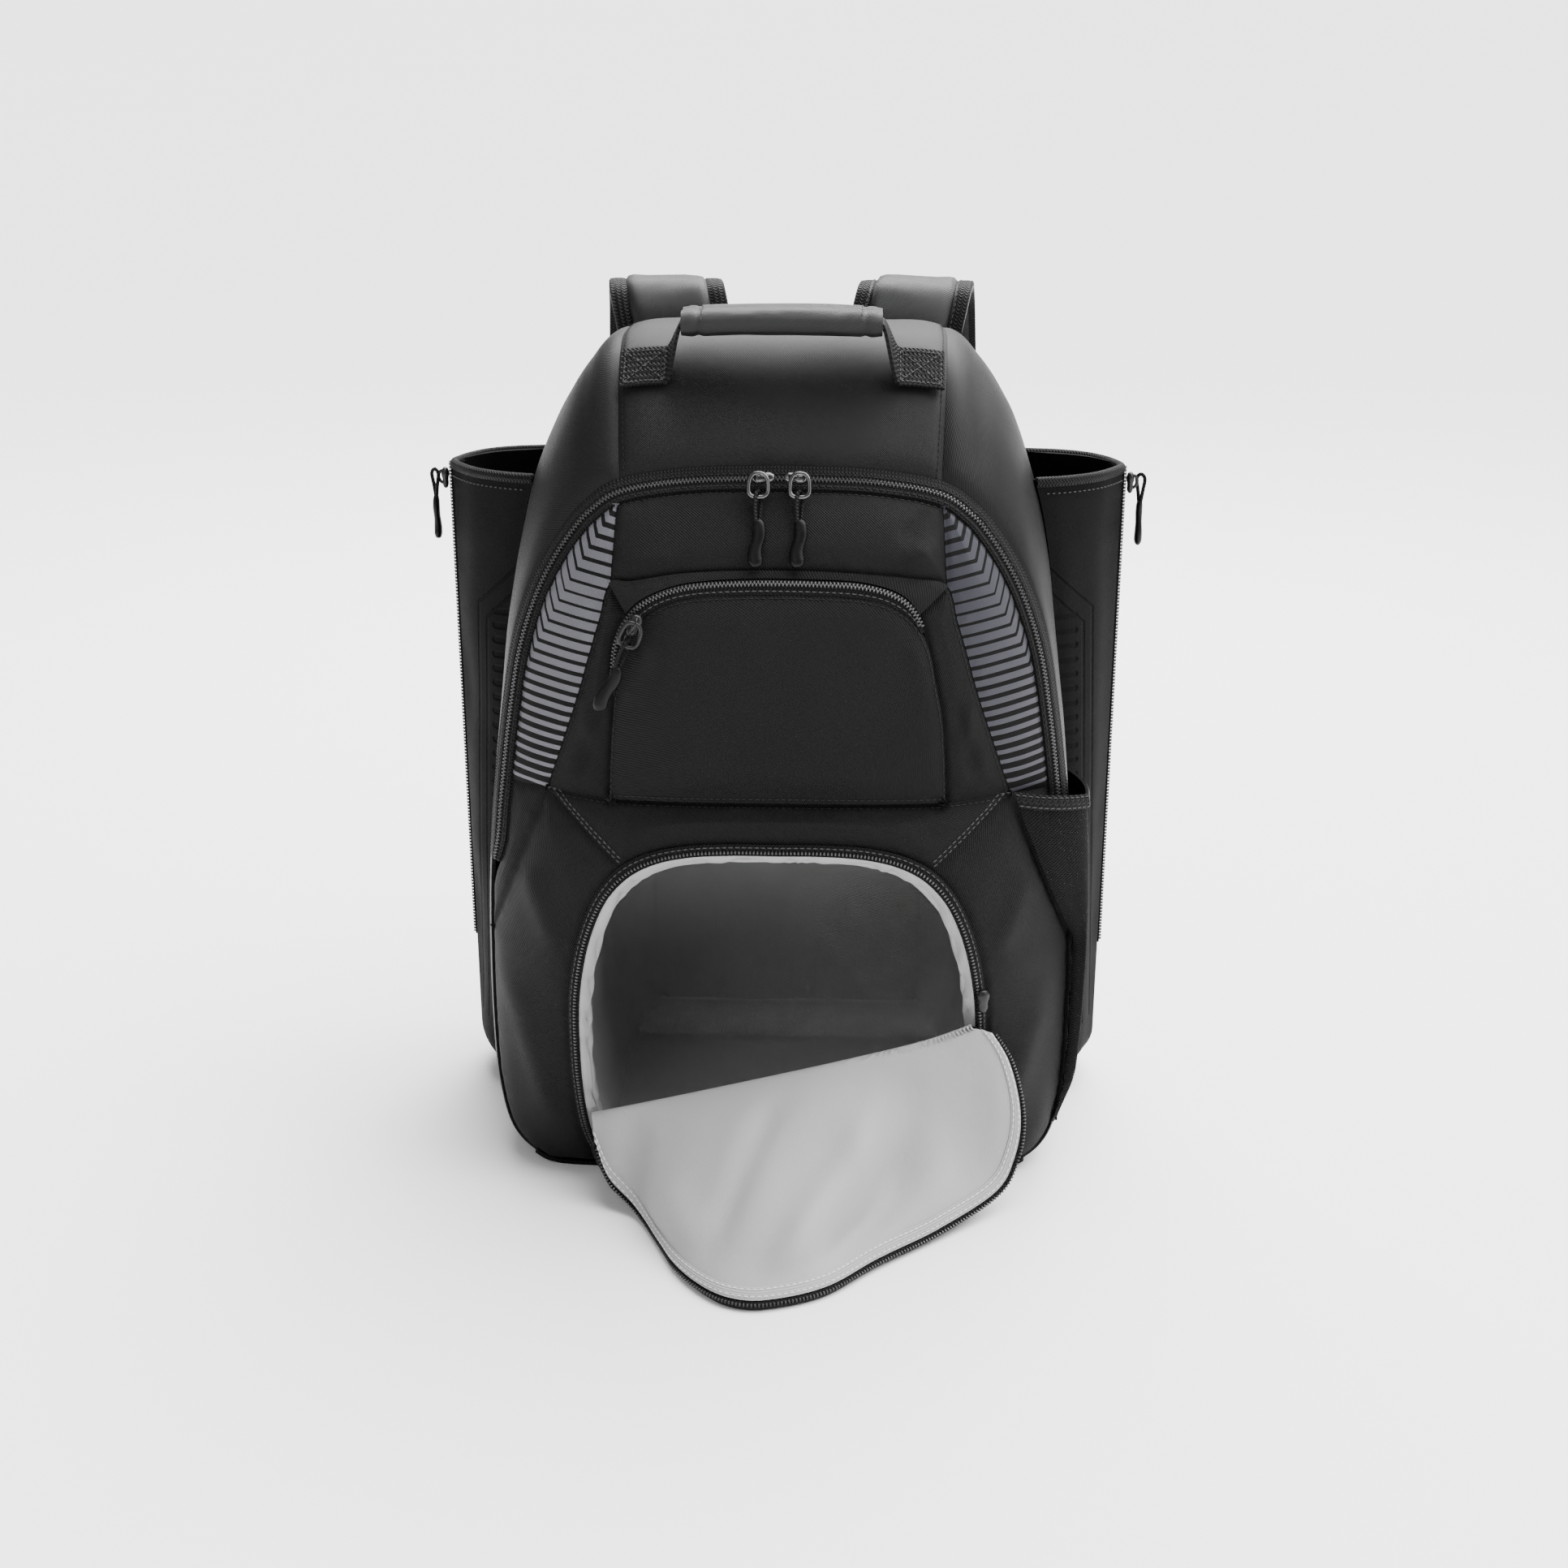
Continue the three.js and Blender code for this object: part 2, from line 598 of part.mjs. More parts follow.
function makeFront() {
  const hoodSeam = pocketSeam.slice(pocketLeftCorner, pocketRightCorner + 1);
  const topEdge = spread(-chevronTopRow, chevronTopRow, hoodSeam.length - 1).map(panelEdge);
  frontPanel('front_top_panel', hoodSeam, topEdge, 5, 2);
  frontPanel('pocket_hood', tapeOuter.slice(pocketLeftCorner, pocketRightCorner + 1), hoodSeam,
    2, 2, { lift: pocketLift / 2 });
  frontPanel('pocket_side_left', tapeOuter.slice(0, pocketLeftCorner + 1),
    pocketSeam.slice(0, pocketLeftCorner + 1), 3, 2);
  frontPanel('pocket_side_right', tapeOuter.slice(pocketRightCorner),
    pocketSeam.slice(pocketRightCorner), 3, 2);
  const zipLines = [pocketEdge, tapeOuter].map((line) => line.slice(pocketZipStart, pocketRightCorner + 2));
  const zipSettings = { lift: pocketLift / 2, wall: zipWall, trimStart: clothFold, trimEnd: clothFold };
  frontPanel('pocket_zip', ...zipLines, 1, 2, { ...zipSettings, material: materials.tape });
  const lowerEdge = spread(-1, 1, pocketEdge.length - 1).map((share) => pocketPoint(share, 0));
  frontPanel('pocket_panel', lowerEdge, pocketEdge, 7, 1, { lift: pocketLift, wall: pocketPad });

  const chevronSeam = pocketSeam.slice(pocketRightCorner);
  const chevronTop = panelEdge(chevronTopRow);
  const inner = [chevronTop, chevronTop.clone().lerp(chevronSeam[0], 0.5), ...chevronSeam];
  const outer = spread(chevronTopRow, chevronEndRow, inner.length - 1).map(panelEdge);
  const chevron = { trimStart: cornerTrim, material: materials.chevron };
  frontPanel('chevron_panel_right', inner, outer, 5, 2, chevron);
  frontPanel('chevron_panel_left', mirrored(inner), mirrored(outer), 5, 2, chevron);

  const stripSeam = stripSeamLine;
  const stripOuter = spread(chevronEndRow, stripEndRow, 5).map(panelEdge);
  const strip = { trimEnd: cornerTrim };
  frontPanel('side_strip_right', stripSeam, stripOuter, 2, 1, strip);
  frontPanel('side_strip_left', mirrored(stripSeam), mirrored(stripOuter), 2, 1, strip);

  const half = openingLine(0);
  const shoulder = half[diagonalSeamRow];
  const diagonal = spread(0, 1, 3).map((share) => shoulder.clone().lerp(stripTop, share));
  const arch = [...half.slice(0, diagonalSeamRow), ...diagonal];
  const bandFoot = [...mirrored(arch).reverse(), ...arch.slice(1)];
  const seamLine = [mirrored([stripTop])[0], pocketPoint(-1, 0), pocketPoint(1, 0), stripTop];
  const bandTop = spread(0, 1, bandFoot.length - 1).map((share) => alongLine(seamLine, share));
  frontPanel('lower_band', bandFoot, bandTop, 4, 1, { trimStart: cornerTrim, trimEnd: cornerTrim });

  const cheekInner = half.slice(diagonalSeamRow);
  const cheekLine = [stripTop, stripEnd, ...spread(stripEndRow + 0.5, cornerRow + 0.6, 9).map(panelEdge)];
  const cheekOuter = spread(0, 1, cheekInner.length - 1).map((share) => alongLine(cheekLine, share));
  frontPanel('lower_panel_right', cheekInner, cheekOuter, 5, 1);
  frontPanel('lower_panel_left', mirrored(cheekInner), mirrored(cheekOuter), 5, 1);
}

// Mouth of the shoe compartment, drawn in by an inset; the half line runs down the right side.
function openingLine(inset) {
  const rows = readTable(openingColumns, openingRows);
  const wide = (openingHalfWidth - inset) / openingHalfWidth;
  const tall = (openingHeight - inset) / openingHeight;
  return rows.map((row) => plane(row.across * openingHalfWidth * wide, row.up * openingHeight * tall));
}
function openingLoop(inset) {
  const half = openingLine(inset);
  return [...mirrored(half).reverse(), ...half.slice(1)];
}

function makeMainZip() {
  const point = (row, share) => ringPoint(
    seamCurve, row, mix(wallInset, panelInset(row) - seamGap * 2, share));
  const surface = (back) => (u, v) => {
    const at = point(mix(-zipEndRow, zipEndRow, v), u);
    return new THREE.Vector3(at.x, frontDepth(at.x, at.z) + back, at.z);
  };
  addMesh('main_zip', sheetSolid(surface(0), surface(zipWall), 1, 42), materials.tape);
}

function makeGusset() {
  const panel = (name, fromRow, toRow, across, along, material) => {
    const surface = (inset) => (u, v) => gussetPoint(mix(fromRow, toRow, u), v, inset);
    addMesh(name, sheetSolid(surface(0), surface(gussetWall), across, along), material);
  };
  const slit = (row) => (0.1 * seamGap) / seamCurve(row).distanceTo(seamCurve(row + 0.1));
  const sideRows = cornerRow - shoulderRow;
  const shoulder = shoulderRow + slit(shoulderRow);
  const corner = cornerRow - slit(cornerRow);
  const topEnd = shoulderRow - slit(shoulderRow);
  panel('gusset_top', -topEnd, topEnd, 12, 8, materials.gusset);
  panel('gusset_right', shoulder, corner, sideRows, 6, materials.gusset);
  panel('gusset_left', -corner, -shoulder, sideRows, 6, materials.gusset);
  const base = (inset) => (u, v) => {
    const row = mix(cornerRow + slit(cornerRow), lastRow, 1 - Math.abs(2 * u - 1));
    return gussetPoint(u < 0.5 ? -row : row, v, inset);
  };
  addMesh('base_panel', sheetSolid(base(0), base(gussetWall), 12, 2), materials.tape);

  const padInset = gussetWall + seamGap;
  const back = (y) => (u, v) => {
    const edge = ringPoint(backCurve, mix(1, cornerRow + 1, v), padInset);
    return new THREE.Vector3(mix(-edge.x, edge.x, u), y, edge.z);
  };
  addMesh('back_panel', sheetSolid(back(backReach), back(backReach - backPad), 3, 16), materials.padding);
}

function makeChamber() {
  const tapeLine = (inset) => openingLoop(inset);
  const outerTape = tapeLine(seamGap);
  const innerTape = tapeLine(openingTape);
  const count = outerTape.length - 1;
  const tape = (back) => (u, v) => {
    const i = Math.min(Math.floor(v * count), count - 1);
    const a = outerTape[i].clone().lerp(outerTape[i + 1], v * count - i);
    const b = innerTape[i].clone().lerp(innerTape[i + 1], v * count - i);
    const at = a.lerp(b, u);
    return new THREE.Vector3(at.x, frontDepth(at.x, at.y) + back, at.y);
  };
  addMesh('opening_zip', sheetSolid(tape(0), tape(zipWall), 1, count), materials.tape);

  // Rings of the lining: how deep they lie and how far they are drawn in from the mouth
  const rings = [
    { deep: 0.00, inset: openingTape - 1 },
    { deep: 0.10, inset: 3 },
    { deep: 0.75, inset: 3 },
    { deep: 0.94, inset: 10 },
    { deep: 1.00, inset: 30 },
  ];
  const floor = gussetWall + seamGap;
  const floorSteps = 4;
  const around = count + floorSteps;
  const ring = (share, at, wall) => {
    const loop = openingLoop(at.inset + wall * linerWall);
    const i = Math.round(share * around);
    const past = (i - count) / floorSteps;
    const point = past > 0 ? loop[count].clone().lerp(loop[0], past) : loop[i];
    const mouth = frontDepth(point.x, point.y) + zipWall + seamGap * 2;
    const low = floor + wall * linerWall + Math.max(at.inset - openingTape, 0);
    const end = backReach - backPad - chamberClear - wall * linerWall;
    return new THREE.Vector3(point.x, mix(mouth, end, at.deep), Math.max(point.y, low));
  };
  addMesh('shoe_lining', bowlSolid(ring, around, rings), materials.lining);
}

// Surface moved off another by a distance along its normal, never below the floor.
function offsetSurface(surface, distance) {
  const step = 0.01;
  return (u, v) => {
    const across = surface(Math.min(u + step, 1), v).sub(surface(Math.max(u - step, 0), v));
    const along = surface(u, Math.min(v + step, 1)).sub(surface(u, Math.max(v - step, 0)));
    const point = surface(u, v).addScaledVector(along.cross(across).normalize(), distance);
    point.z = Math.max(point.z, 0);
    return point;
  };
}

// Opened door: it stands closed up to its fold, turns over it and hangs down to the floor.
const doorRim = rowCurve(readTable(doorColumns, doorRows).map((row) => new THREE.Vector3(
  row.across * openingHalfWidth, -row.ahead * doorReach - crownReach,
  Math.max(row.up * doorFoldHigh, doorWall))));
const doorHalf = openingLine(openingTape + linerWall + seamGap).map((point) => [-point.y, point.x]);
function doorPoint(share, along) {
  const low = gussetWall + seamGap * 2;
  const crest = mix(doorFoldLow, doorFoldHigh, share);
  const standTop = crest - doorFoldRadius;
  const standing = (z) => {
    const half = tableValue(doorHalf, -z);
    const x = mix(-half, half, share);
    return new THREE.Vector3(x, frontDepth(x, z), z);
  };
  if (along <= standShare) return standing(mix(low, standTop, along / standShare));
  const top = standing(standTop);
  if (along <= foldShare) {
    const turn = ((along - standShare) / (foldShare - standShare)) * Math.PI * 0.5;
    return new THREE.Vector3(
      top.x, top.y - doorFoldRadius * (1 - Math.cos(turn)), standTop + Math.sin(turn) * doorFoldRadius);
  }
  const foldEnd = new THREE.Vector3(top.x, top.y - doorFoldRadius, crest);
  const rim = doorRim(share * (doorRows.length - 1));
  const fall = (along - foldShare) / (1 - foldShare);
  const point = foldEnd.lerp(rim, fall);
  point.z = mix(rim.z, crest, (1 - fall) ** doorDrop * (1 + doorBelly * fall));
  return point;
}

function makeDoor() {
  const across = 12;
  const along = 12;
  const middle = (u, v) => doorPoint(mix(doorSide, 1 - doorSide, u), v);
  const sheet = (distance, end) => (u, v) => offsetSurface(middle, distance)(u, Math.min(v, end));
  addMesh('flap_shell', sheetSolid(sheet(0, 1), sheet(-doorWall, 1), across, along), materials.twill);
  const under = seamGap * 2.5;
  addMesh('flap_lining', sheetSolid(
    sheet(under + linerWall, 1 - doorHem), sheet(under, 1 - doorHem), across, along), materials.lining);
}

// Bat sleeve: a neoprene pouch on the side of the gusset, open at the top.
const sleeveCurve = rowCurve(readTable(sleeveColumns, sleeveRows).map((row) => new THREE.Vector3(
  row.out, row.back, 0)));
function sleevePoint(side, share, z, wall, closing) {
  const plan = (at) => {
    const point = sleeveCurve(at * (sleeveRows.length - 1));
    const y = sleeveFrontAt + point.y * sleeveDepth;
    const root = gussetHalfWidth(y, z) + seamGap * 3;
    const tip = sleeveSpan / 2 - sleeveTaper * ((sleeveTop - z) / (sleeveTop - sleeveFoot));
    return { root, at: plane(mix(root, tip, point.x * closing), y) };
  };
  const here = plan(share);
  const before = plan(Math.max(share - 0.02, 0)).at;
  const after = plan(Math.min(share + 0.02, 1)).at;
  const run = after.clone().sub(before).normalize();
  const x = Math.max(here.at.x - run.y * wall, here.root);
  return new THREE.Vector3(side * x, here.at.y + run.x * wall, z);
}

function makeSleeve(label, side) {
  const shellTop = sleeveTop - hemHeight - seamGap;
  const footTop = sleeveFoot + sleeveFootRadius;
  const rows = [
    [sleeveFoot, 0.08],
    [mix(sleeveFoot, footTop, 0.14), 0.45],
    [mix(sleeveFoot, footTop, 0.41), 0.8],
    ...spread(footTop, shellTop, 11).map((z) => [z, 1]),
  ];
  const at = (v, wall) => {
    const place = v * (rows.length - 1);
    const i = Math.min(Math.floor(place), rows.length - 2);
    const z = mix(rows[i][0], rows[i + 1][0], place - i);
    const lift = wall * THREE.MathUtils.clamp((footTop - z) / sleeveFootRadius, 0, 1);
    return [z + lift, mix(rows[i][1], rows[i + 1][1], place - i)];
  };
  const shell = (wall) => (u, v) => {
    const [z, closing] = at(v, wall);
    return sleevePoint(side, u, z, wall, closing);
  };
  const pouch = sheetSolid(shell(0), shell(sleeveWall), 10, rows.length - 1);
  addMesh(`sleeve_${label}`, pouch, materials.neoprene);
  const hem = (wall) => (u, v) => sleevePoint(side, u, mix(sleeveTop - hemHeight, sleeveTop, v), wall, 1);
  addMesh(`sleeve_hem_${label}`, sheetSolid(hem(0), hem(hemWall), 10, 1), materials.webbing);
}

// Zip down the outer edge of a sleeve
function sleeveEdge(z) {
  const tip = sleevePoint(1, ridgeShare, z, 0, 1);
  return { x: tip.x + seamGap, y: tip.y };
}
function makeSleeveZip(label, side) {
  const surface = (back) => (u, v) => {
    const z = mix(sleeveTop - sleeveZipLength, sleeveTop - hemHeight * 0.4, v);
    const edge = sleeveEdge(z);
    return new THREE.Vector3(side * (edge.x + back), edge.y + (u - 0.5) * sleeveZipWidth, z);
  };
  addMesh(`sleeve_zip_${label}`, sheetSolid(surface(0), surface(zipWall), 1, 10), materials.tape);
}

// Bottle pocket: sewn down the side strip's seam and up the gusset, standing off between them.
function bottlePoint(u, v, wall, from, to) {
  const rim = mix(bottleTop, bottleTop - bottleDrop, u);
  const z = mix(mix(bottleFoot, rim, from), mix(bottleFoot, rim, to), v);
  const sewn = stripSeamLine.map((point) => [-point.y, point.x]);
  const seamX = gussetHalfWidth(-seamReach, z);
  const start = z > sewnFoot ? tableValue(sewn, -z) : seamX - wallInset;
  const place = new THREE.Vector3();
  if (u <= bottleTurn) {
    place.x = mix(start, seamX, u / bottleTurn);
    place.y = frontDepth(place.x, z);
  } else {
    place.y = mix(-seamReach, bottleBackAt, (u - bottleTurn) / (1 - bottleTurn));
    place.x = gussetHalfWidth(place.y, z);
  }
  const height = (z - bottleFoot) / (bottleTop - bottleFoot);
  const seat = mix(seamGap * 7, seamGap * 3, u);
  const stand = seat + bottleReach * Math.sin(Math.PI * u) * mix(bottleFootReach, 1, height);
  const away = new THREE.Vector3(mix(0.35, 1, u), -mix(1, 0.15, u), 0).normalize();
  return place.addScaledVector(away, stand + wall).setZ(z);
}
function makeBottlePocket() {
  const band = 1 - bindingHeight / (bottleTop - bottleFoot);
  const pouch = (wall) => (u, v) => bottlePoint(u, v, wall, 0, band);
  const binding = (wall) => (u, v) => bottlePoint(u, v, wall, band + 0.002, 1);
  addMesh('bottle_pocket', sheetSolid(pouch(bottleWall), pouch(0), 8, 6), materials.mesh);
  addMesh('bottle_binding', sheetSolid(binding(bottleWall * 1.6), binding(0), 8, 1), materials.webbing);
}

// Carry handle: a webbing sewn to the top gusset at both ends and wrapped by a padded grip.
function topHeight(x, y) {
  const row = (Math.abs(x) / (halfWidth * outline[shoulderRow].crestAcross)) * shoulderRow;
  const front = ringPoint(seamCurve, row, 0).y;
  return gussetPoint(row, (y - front) / (backReach - front), 0).z;
}
function handleFrame(x) {
  const step = 2;
  const slope = (topHeight(x, handleAt + step) - topHeight(x, handleAt - step)) / (2 * step);
  const lifted = THREE.MathUtils.smoothstep(webReach - Math.abs(x), webPatch, webReach - gripLength / 2);
  const arch = handleArch * (1 - (x / webReach) ** 2);
  const rest = topHeight(x, handleAt) + seamGap * 3;
  const tilt = Math.atan(slope) * (1 - lifted);
  return { tilt, z: mix(rest, topHeight(0, handleAt) + handleRise + arch, lifted) };
}
function makeHandle() {
  const web = (wall) => (u, v) => {
    const x = mix(-webReach, webReach, v);
    const { tilt, z } = handleFrame(x);
    const across = (u - 0.5) * webWidth;
    return new THREE.Vector3(x, handleAt + across * Math.cos(tilt) - wall * Math.sin(tilt),
      z + across * Math.sin(tilt) + wall * Math.cos(tilt));
  };
  addMesh('handle_webbing', sheetSolid(web(webWall), web(0), 1, 26), materials.webbing);
  const slot = { deep: webWidth / 2 + seamGap, high: webWall / 2 + seamGap };
  const loop = (deep, high, square) => (u, v) => {
    const x = mix(-gripLength / 2, gripLength / 2, v);
    const angle = u * Math.PI * 2;
    const shape = (value) => Math.sign(value) * Math.abs(value) ** square;
    return new THREE.Vector3(x, handleAt + deep * shape(Math.cos(angle)),
      handleFrame(x).z + webWall / 2 + high * shape(Math.sin(angle)));
  };
  const wide = { deep: slot.deep * 1.02, high: slot.high + handleArch * 0.15 };
  addMesh('handle_grip', loopSolid(loop(gripDepth / 2 + gripWrap, gripHeight / 2, 0.75),
    loop(wide.deep, wide.high, 0.2), 12, 5), materials.padding);
}

// Shoulder straps: padded arches from the top of the back, then webbing down to the base.
const strapShape = readTable(strapColumns, strapRows);
const strapBase = backReach + strapPad / 2 + seamGap;
const strapPath = rowCurve(strapShape.map((row) => new THREE.Vector3(
  strapCentre + row.spread * strapSpread,
  strapBase + row.back * strapStandOff,
  strapCrest - row.drop * strapDrop)));
const strapWidths = rowCurve(strapShape.map((row) => new THREE.Vector3(row.width * strapWidth, 0, 0)));
const sectionShape = [
  [-1, -0.5], [-0.93, -1], [0.93, -1], [1, -0.5], [1, 0.5], [0.93, 1], [-0.93, 1], [-1, 0.5]];
function strapFrame(row, side) {
  const last = strapRows.length - 1;
  const at = strapPath(row);
  const run = strapPath(Math.min(row + 0.1, last)).sub(strapPath(Math.max(row - 0.1, 0))).normalize();
  at.x *= side;
  run.x *= side;
  const across = new THREE.Vector3(1, 0, 0).addScaledVector(run, -run.x).normalize();
  return { at, run, across, out: new THREE.Vector3().crossVectors(across, run) };
}
function makeStrap(label, side) {
  const last = strapRows.length - 1;
  const section = (u, v) => {
    const { at, across, out } = strapFrame(v * last, side);
    const [wide, thick] = sectionShape[Math.round(u * sectionShape.length) % sectionShape.length];
    const width = strapWidths(v * last).x;
    return at.addScaledVector(across, (wide * width) / 2).addScaledVector(out, (thick * strapPad) / 2);
  };
  addMesh(`strap_pad_${label}`, loopSolid(section, null, sectionShape.length, 14), materials.padding);

  const end = strapFrame(last, side);
  const frame = new THREE.Shape();
  const wide = strapWebWidth / 2 + adjusterBar;
  const foot = wide - adjusterTaper;
  frame.moveTo(-wide, 0).lineTo(wide, 0).lineTo(foot, -adjusterHeight).lineTo(-foot, -adjusterHeight);
  [0, 1].forEach((slot) => {
    const top = -adjusterBar - slot * (adjusterHeight / 2 - adjusterBar / 4);
    const half = strapWebWidth / 2 - slot;
    const hole = new THREE.Path();
    hole.moveTo(-half, top).lineTo(-half, top - adjusterSlot);
    hole.lineTo(half, top - adjusterSlot).lineTo(half, top);
    frame.holes.push(hole);
  });
  const plate = new THREE.ExtrudeGeometry(frame, { depth: adjusterWall, bevelEnabled: false });
  plate.rotateX(Math.PI / 2);
  const adjuster = addMesh(`strap_adjuster_${label}`, plate, materials.plastic);
  const stand = new THREE.Matrix4().makeBasis(end.across, end.out, end.run.clone().negate());
  adjuster.setRotationFromMatrix(stand);
  adjuster.position.copy(end.at).addScaledVector(end.run, seamGap);
  adjuster.position.addScaledVector(end.out, adjusterWall / 2);

  const anchor = new THREE.Vector3(side * strapAnchorAcross, backReach + seamGap, strapAnchorHeight);
  const head = end.at.clone().addScaledVector(end.run, adjusterHeight + webWall);
  const web = (wall) => (u, v) => {
    const at = head.clone().lerp(anchor, Math.min(v / webLanding, 1));
    const hang = Math.max(v - webLanding, 0) / (1 - webLanding);
    at.z -= hang * webPatch;
    at.x += (u - 0.5) * strapWebWidth;
    at.y += wall;
    return at;
  };
  addMesh(`strap_webbing_${label}`, sheetSolid(web(webWall), web(0), 1, 8), materials.webbing);
}

// Zip pull in its own frame: the slider's back is at the origin, the pull hangs down -Z, -Y is ahead.
function makePull(label, place, withRing) {
  const pull = new THREE.Group();
  const put = (name, geometry, material) => {
    const mesh = new THREE.Mesh(geometry, material);
    mesh.name = name;
    pull.add(mesh);
    return mesh;
  };
  const body = new THREE.Shape();
  const half = sliderWidth / 2;
  const nose = half * sliderNose;
  body.moveTo(-half, 0).lineTo(-nose, -sliderLength).lineTo(nose, -sliderLength).lineTo(half, 0);
  const slider = new THREE.ExtrudeGeometry(body, { depth: sliderHeight, bevelEnabled: false });
  put(`${label}_slider`, slider.rotateX(Math.PI / 2), materials.gunmetal);

  const ahead = -sliderHeight - seamGap;
  const ringTop = -sliderLength * 0.35;
  let hook = ringTop;
  if (withRing) {
    const loop = (inset) => (u, v) => {
      const angle = u * Math.PI * 2;
      const shape = (value) => Math.sign(value) * Math.abs(value) ** 0.6;
      return new THREE.Vector3((ringWidth / 2 - inset) * shape(Math.cos(angle)), -v * ringWire,
        (ringLength / 2 - inset) * shape(Math.sin(angle)) - ringLength / 2);
    };
    put(`${label}_ring`, loopSolid(loop(0), loop(ringWire), 12, 1), materials.gunmetal)
      .position.set(0, ahead, ringTop);
    hook = ringTop - ringLength;
  }
  const legs = ringWire / 2 + cordDiameter / 2 + seamGap * 2;
  const bar = withRing ? ahead - ringWire / 2 : ahead - legs - cordDiameter / 2;
  const foot = hook - cordLength;
  const bend = hook + ringWire / 2;
  const path = new THREE.CatmullRomCurve3([
    new THREE.Vector3(0, bar - legs, foot), new THREE.Vector3(0, bar - legs, bend),
    new THREE.Vector3(0, bar, bend + legs * 1.2),
    new THREE.Vector3(0, bar + legs, bend), new THREE.Vector3(0, bar + legs, foot)]);
  const wire = new THREE.Shape().absarc(0, 0, cordDiameter / 2, 0, Math.PI * 2);
  const drawn = { steps: 8, curveSegments: 3, extrudePath: path };
  put(`${label}_cord`, new THREE.ExtrudeGeometry(wire, drawn), materials.webbing);

  const grip = (u, v) => {
    const angle = u * Math.PI * 2;
    const taper = 0.75 + 0.25 * Math.sin(Math.PI * Math.min(v * 1.15, 1)) + 0.1 * v;
    return new THREE.Vector3((Math.cos(angle) * taper * pullWidth) / 2,
      bar + (Math.sin(angle) * pullWall) / 2, foot - seamGap - v * pullLength);
  };
  put(`${label}_grip`, loopSolid(grip, null, 8, 4), materials.rubber);
  pull.position.copy(place.at);
  pull.rotation.set(place.tilt ?? 0, place.lean ?? 0, place.turn ?? 0, 'ZYX');
  group.add(pull);
}

function makePulls() {
  [['right', 1], ['left', -1]].forEach(([label, side]) => {
    const x = (side * pullSpacing) / 2;
    const pullRow = pullSpacing / 2 / (halfWidth * outline[1].seamAcross);
    const zipLine = ringPoint(seamCurve, pullRow, wallInset + zipWidth / 2);
    const top = new THREE.Vector3(x, frontDepth(x, zipLine.z) - pullSeat, zipLine.z + sliderLength / 2);
    const reach = sliderLength + ringLength + cordLength + pullLength;
    const low = top.z - reach * 0.75;
    const tilt = Math.atan2(top.y - frontDepth(x, low), reach * 0.75);
    makePull(`main_${label}`, { at: top, tilt: -tilt * pullLie }, true);

    const z = sleeveTop - hemHeight;
    const edge = sleeveEdge(z);
    const at = new THREE.Vector3(side * (edge.x + zipWall + seamGap), edge.y, z);
    makePull(`sleeve_${label}`, { at, turn: (side * Math.PI) / 2 }, false);
  });
  const at = alongRows(pocketEdge, tapeOuter, pocketPullRow, 0.5);
  const y = frontDepth(at.x, at.y) - pocketLift - pullSeat;
  const seat = new THREE.Vector3(at.x, y, at.y);
  makePull('pocket', { at: seat, lean: pocketPullLean, tilt: -pocketPullTilt }, true);

  const block = new THREE.BoxGeometry(sliderWidth, sliderHeight, sliderLength);
  const slider = addMesh('shoe_slider', block, materials.gunmetal);
  const z = doorFoldHigh + sliderLength;
  const x = tableValue(openingLine(openingTape / 2).map((point) => [-point.y, point.x]), -z);
  slider.rotation.z = Math.atan((frontDepth(x + 2, z) - frontDepth(x - 2, z)) / 4);
  slider.position.set(x, frontDepth(x, z), z);
  slider.translateY(-sliderHeight / 2 - pullSeat);
}

function alongRows(lineA, lineB, row, share) {
  const i = Math.floor(row);
  const a = lineA[i].clone().lerp(lineA[i + 1], row - i);
  return a.lerp(lineB[i].clone().lerp(lineB[i + 1], row - i), share);
}

makeFront();
makeMainZip();
makeGusset();
makeChamber();
makeDoor();
makeBottlePocket();
makeHandle();
[['right', 1], ['left', -1]].forEach(([label, side]) => {
  makeSleeve(label, side);
  makeSleeveZip(label, side);
  makeStrap(label, side);
});
makePulls();

export default group;
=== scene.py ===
import bpy
import numpy as np
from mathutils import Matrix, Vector


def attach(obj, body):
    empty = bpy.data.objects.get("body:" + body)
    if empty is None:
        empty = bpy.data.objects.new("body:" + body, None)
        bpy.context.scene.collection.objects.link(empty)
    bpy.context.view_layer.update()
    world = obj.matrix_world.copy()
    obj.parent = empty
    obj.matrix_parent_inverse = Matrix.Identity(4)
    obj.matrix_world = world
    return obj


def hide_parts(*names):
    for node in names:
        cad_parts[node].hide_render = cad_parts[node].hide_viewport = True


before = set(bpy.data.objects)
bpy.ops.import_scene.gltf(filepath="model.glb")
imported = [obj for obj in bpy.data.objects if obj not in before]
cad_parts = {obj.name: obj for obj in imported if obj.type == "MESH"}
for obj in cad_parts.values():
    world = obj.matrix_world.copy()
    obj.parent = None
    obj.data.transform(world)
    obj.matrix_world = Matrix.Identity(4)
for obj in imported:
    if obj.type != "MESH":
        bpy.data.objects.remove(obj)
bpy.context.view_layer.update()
print("frame loaded")

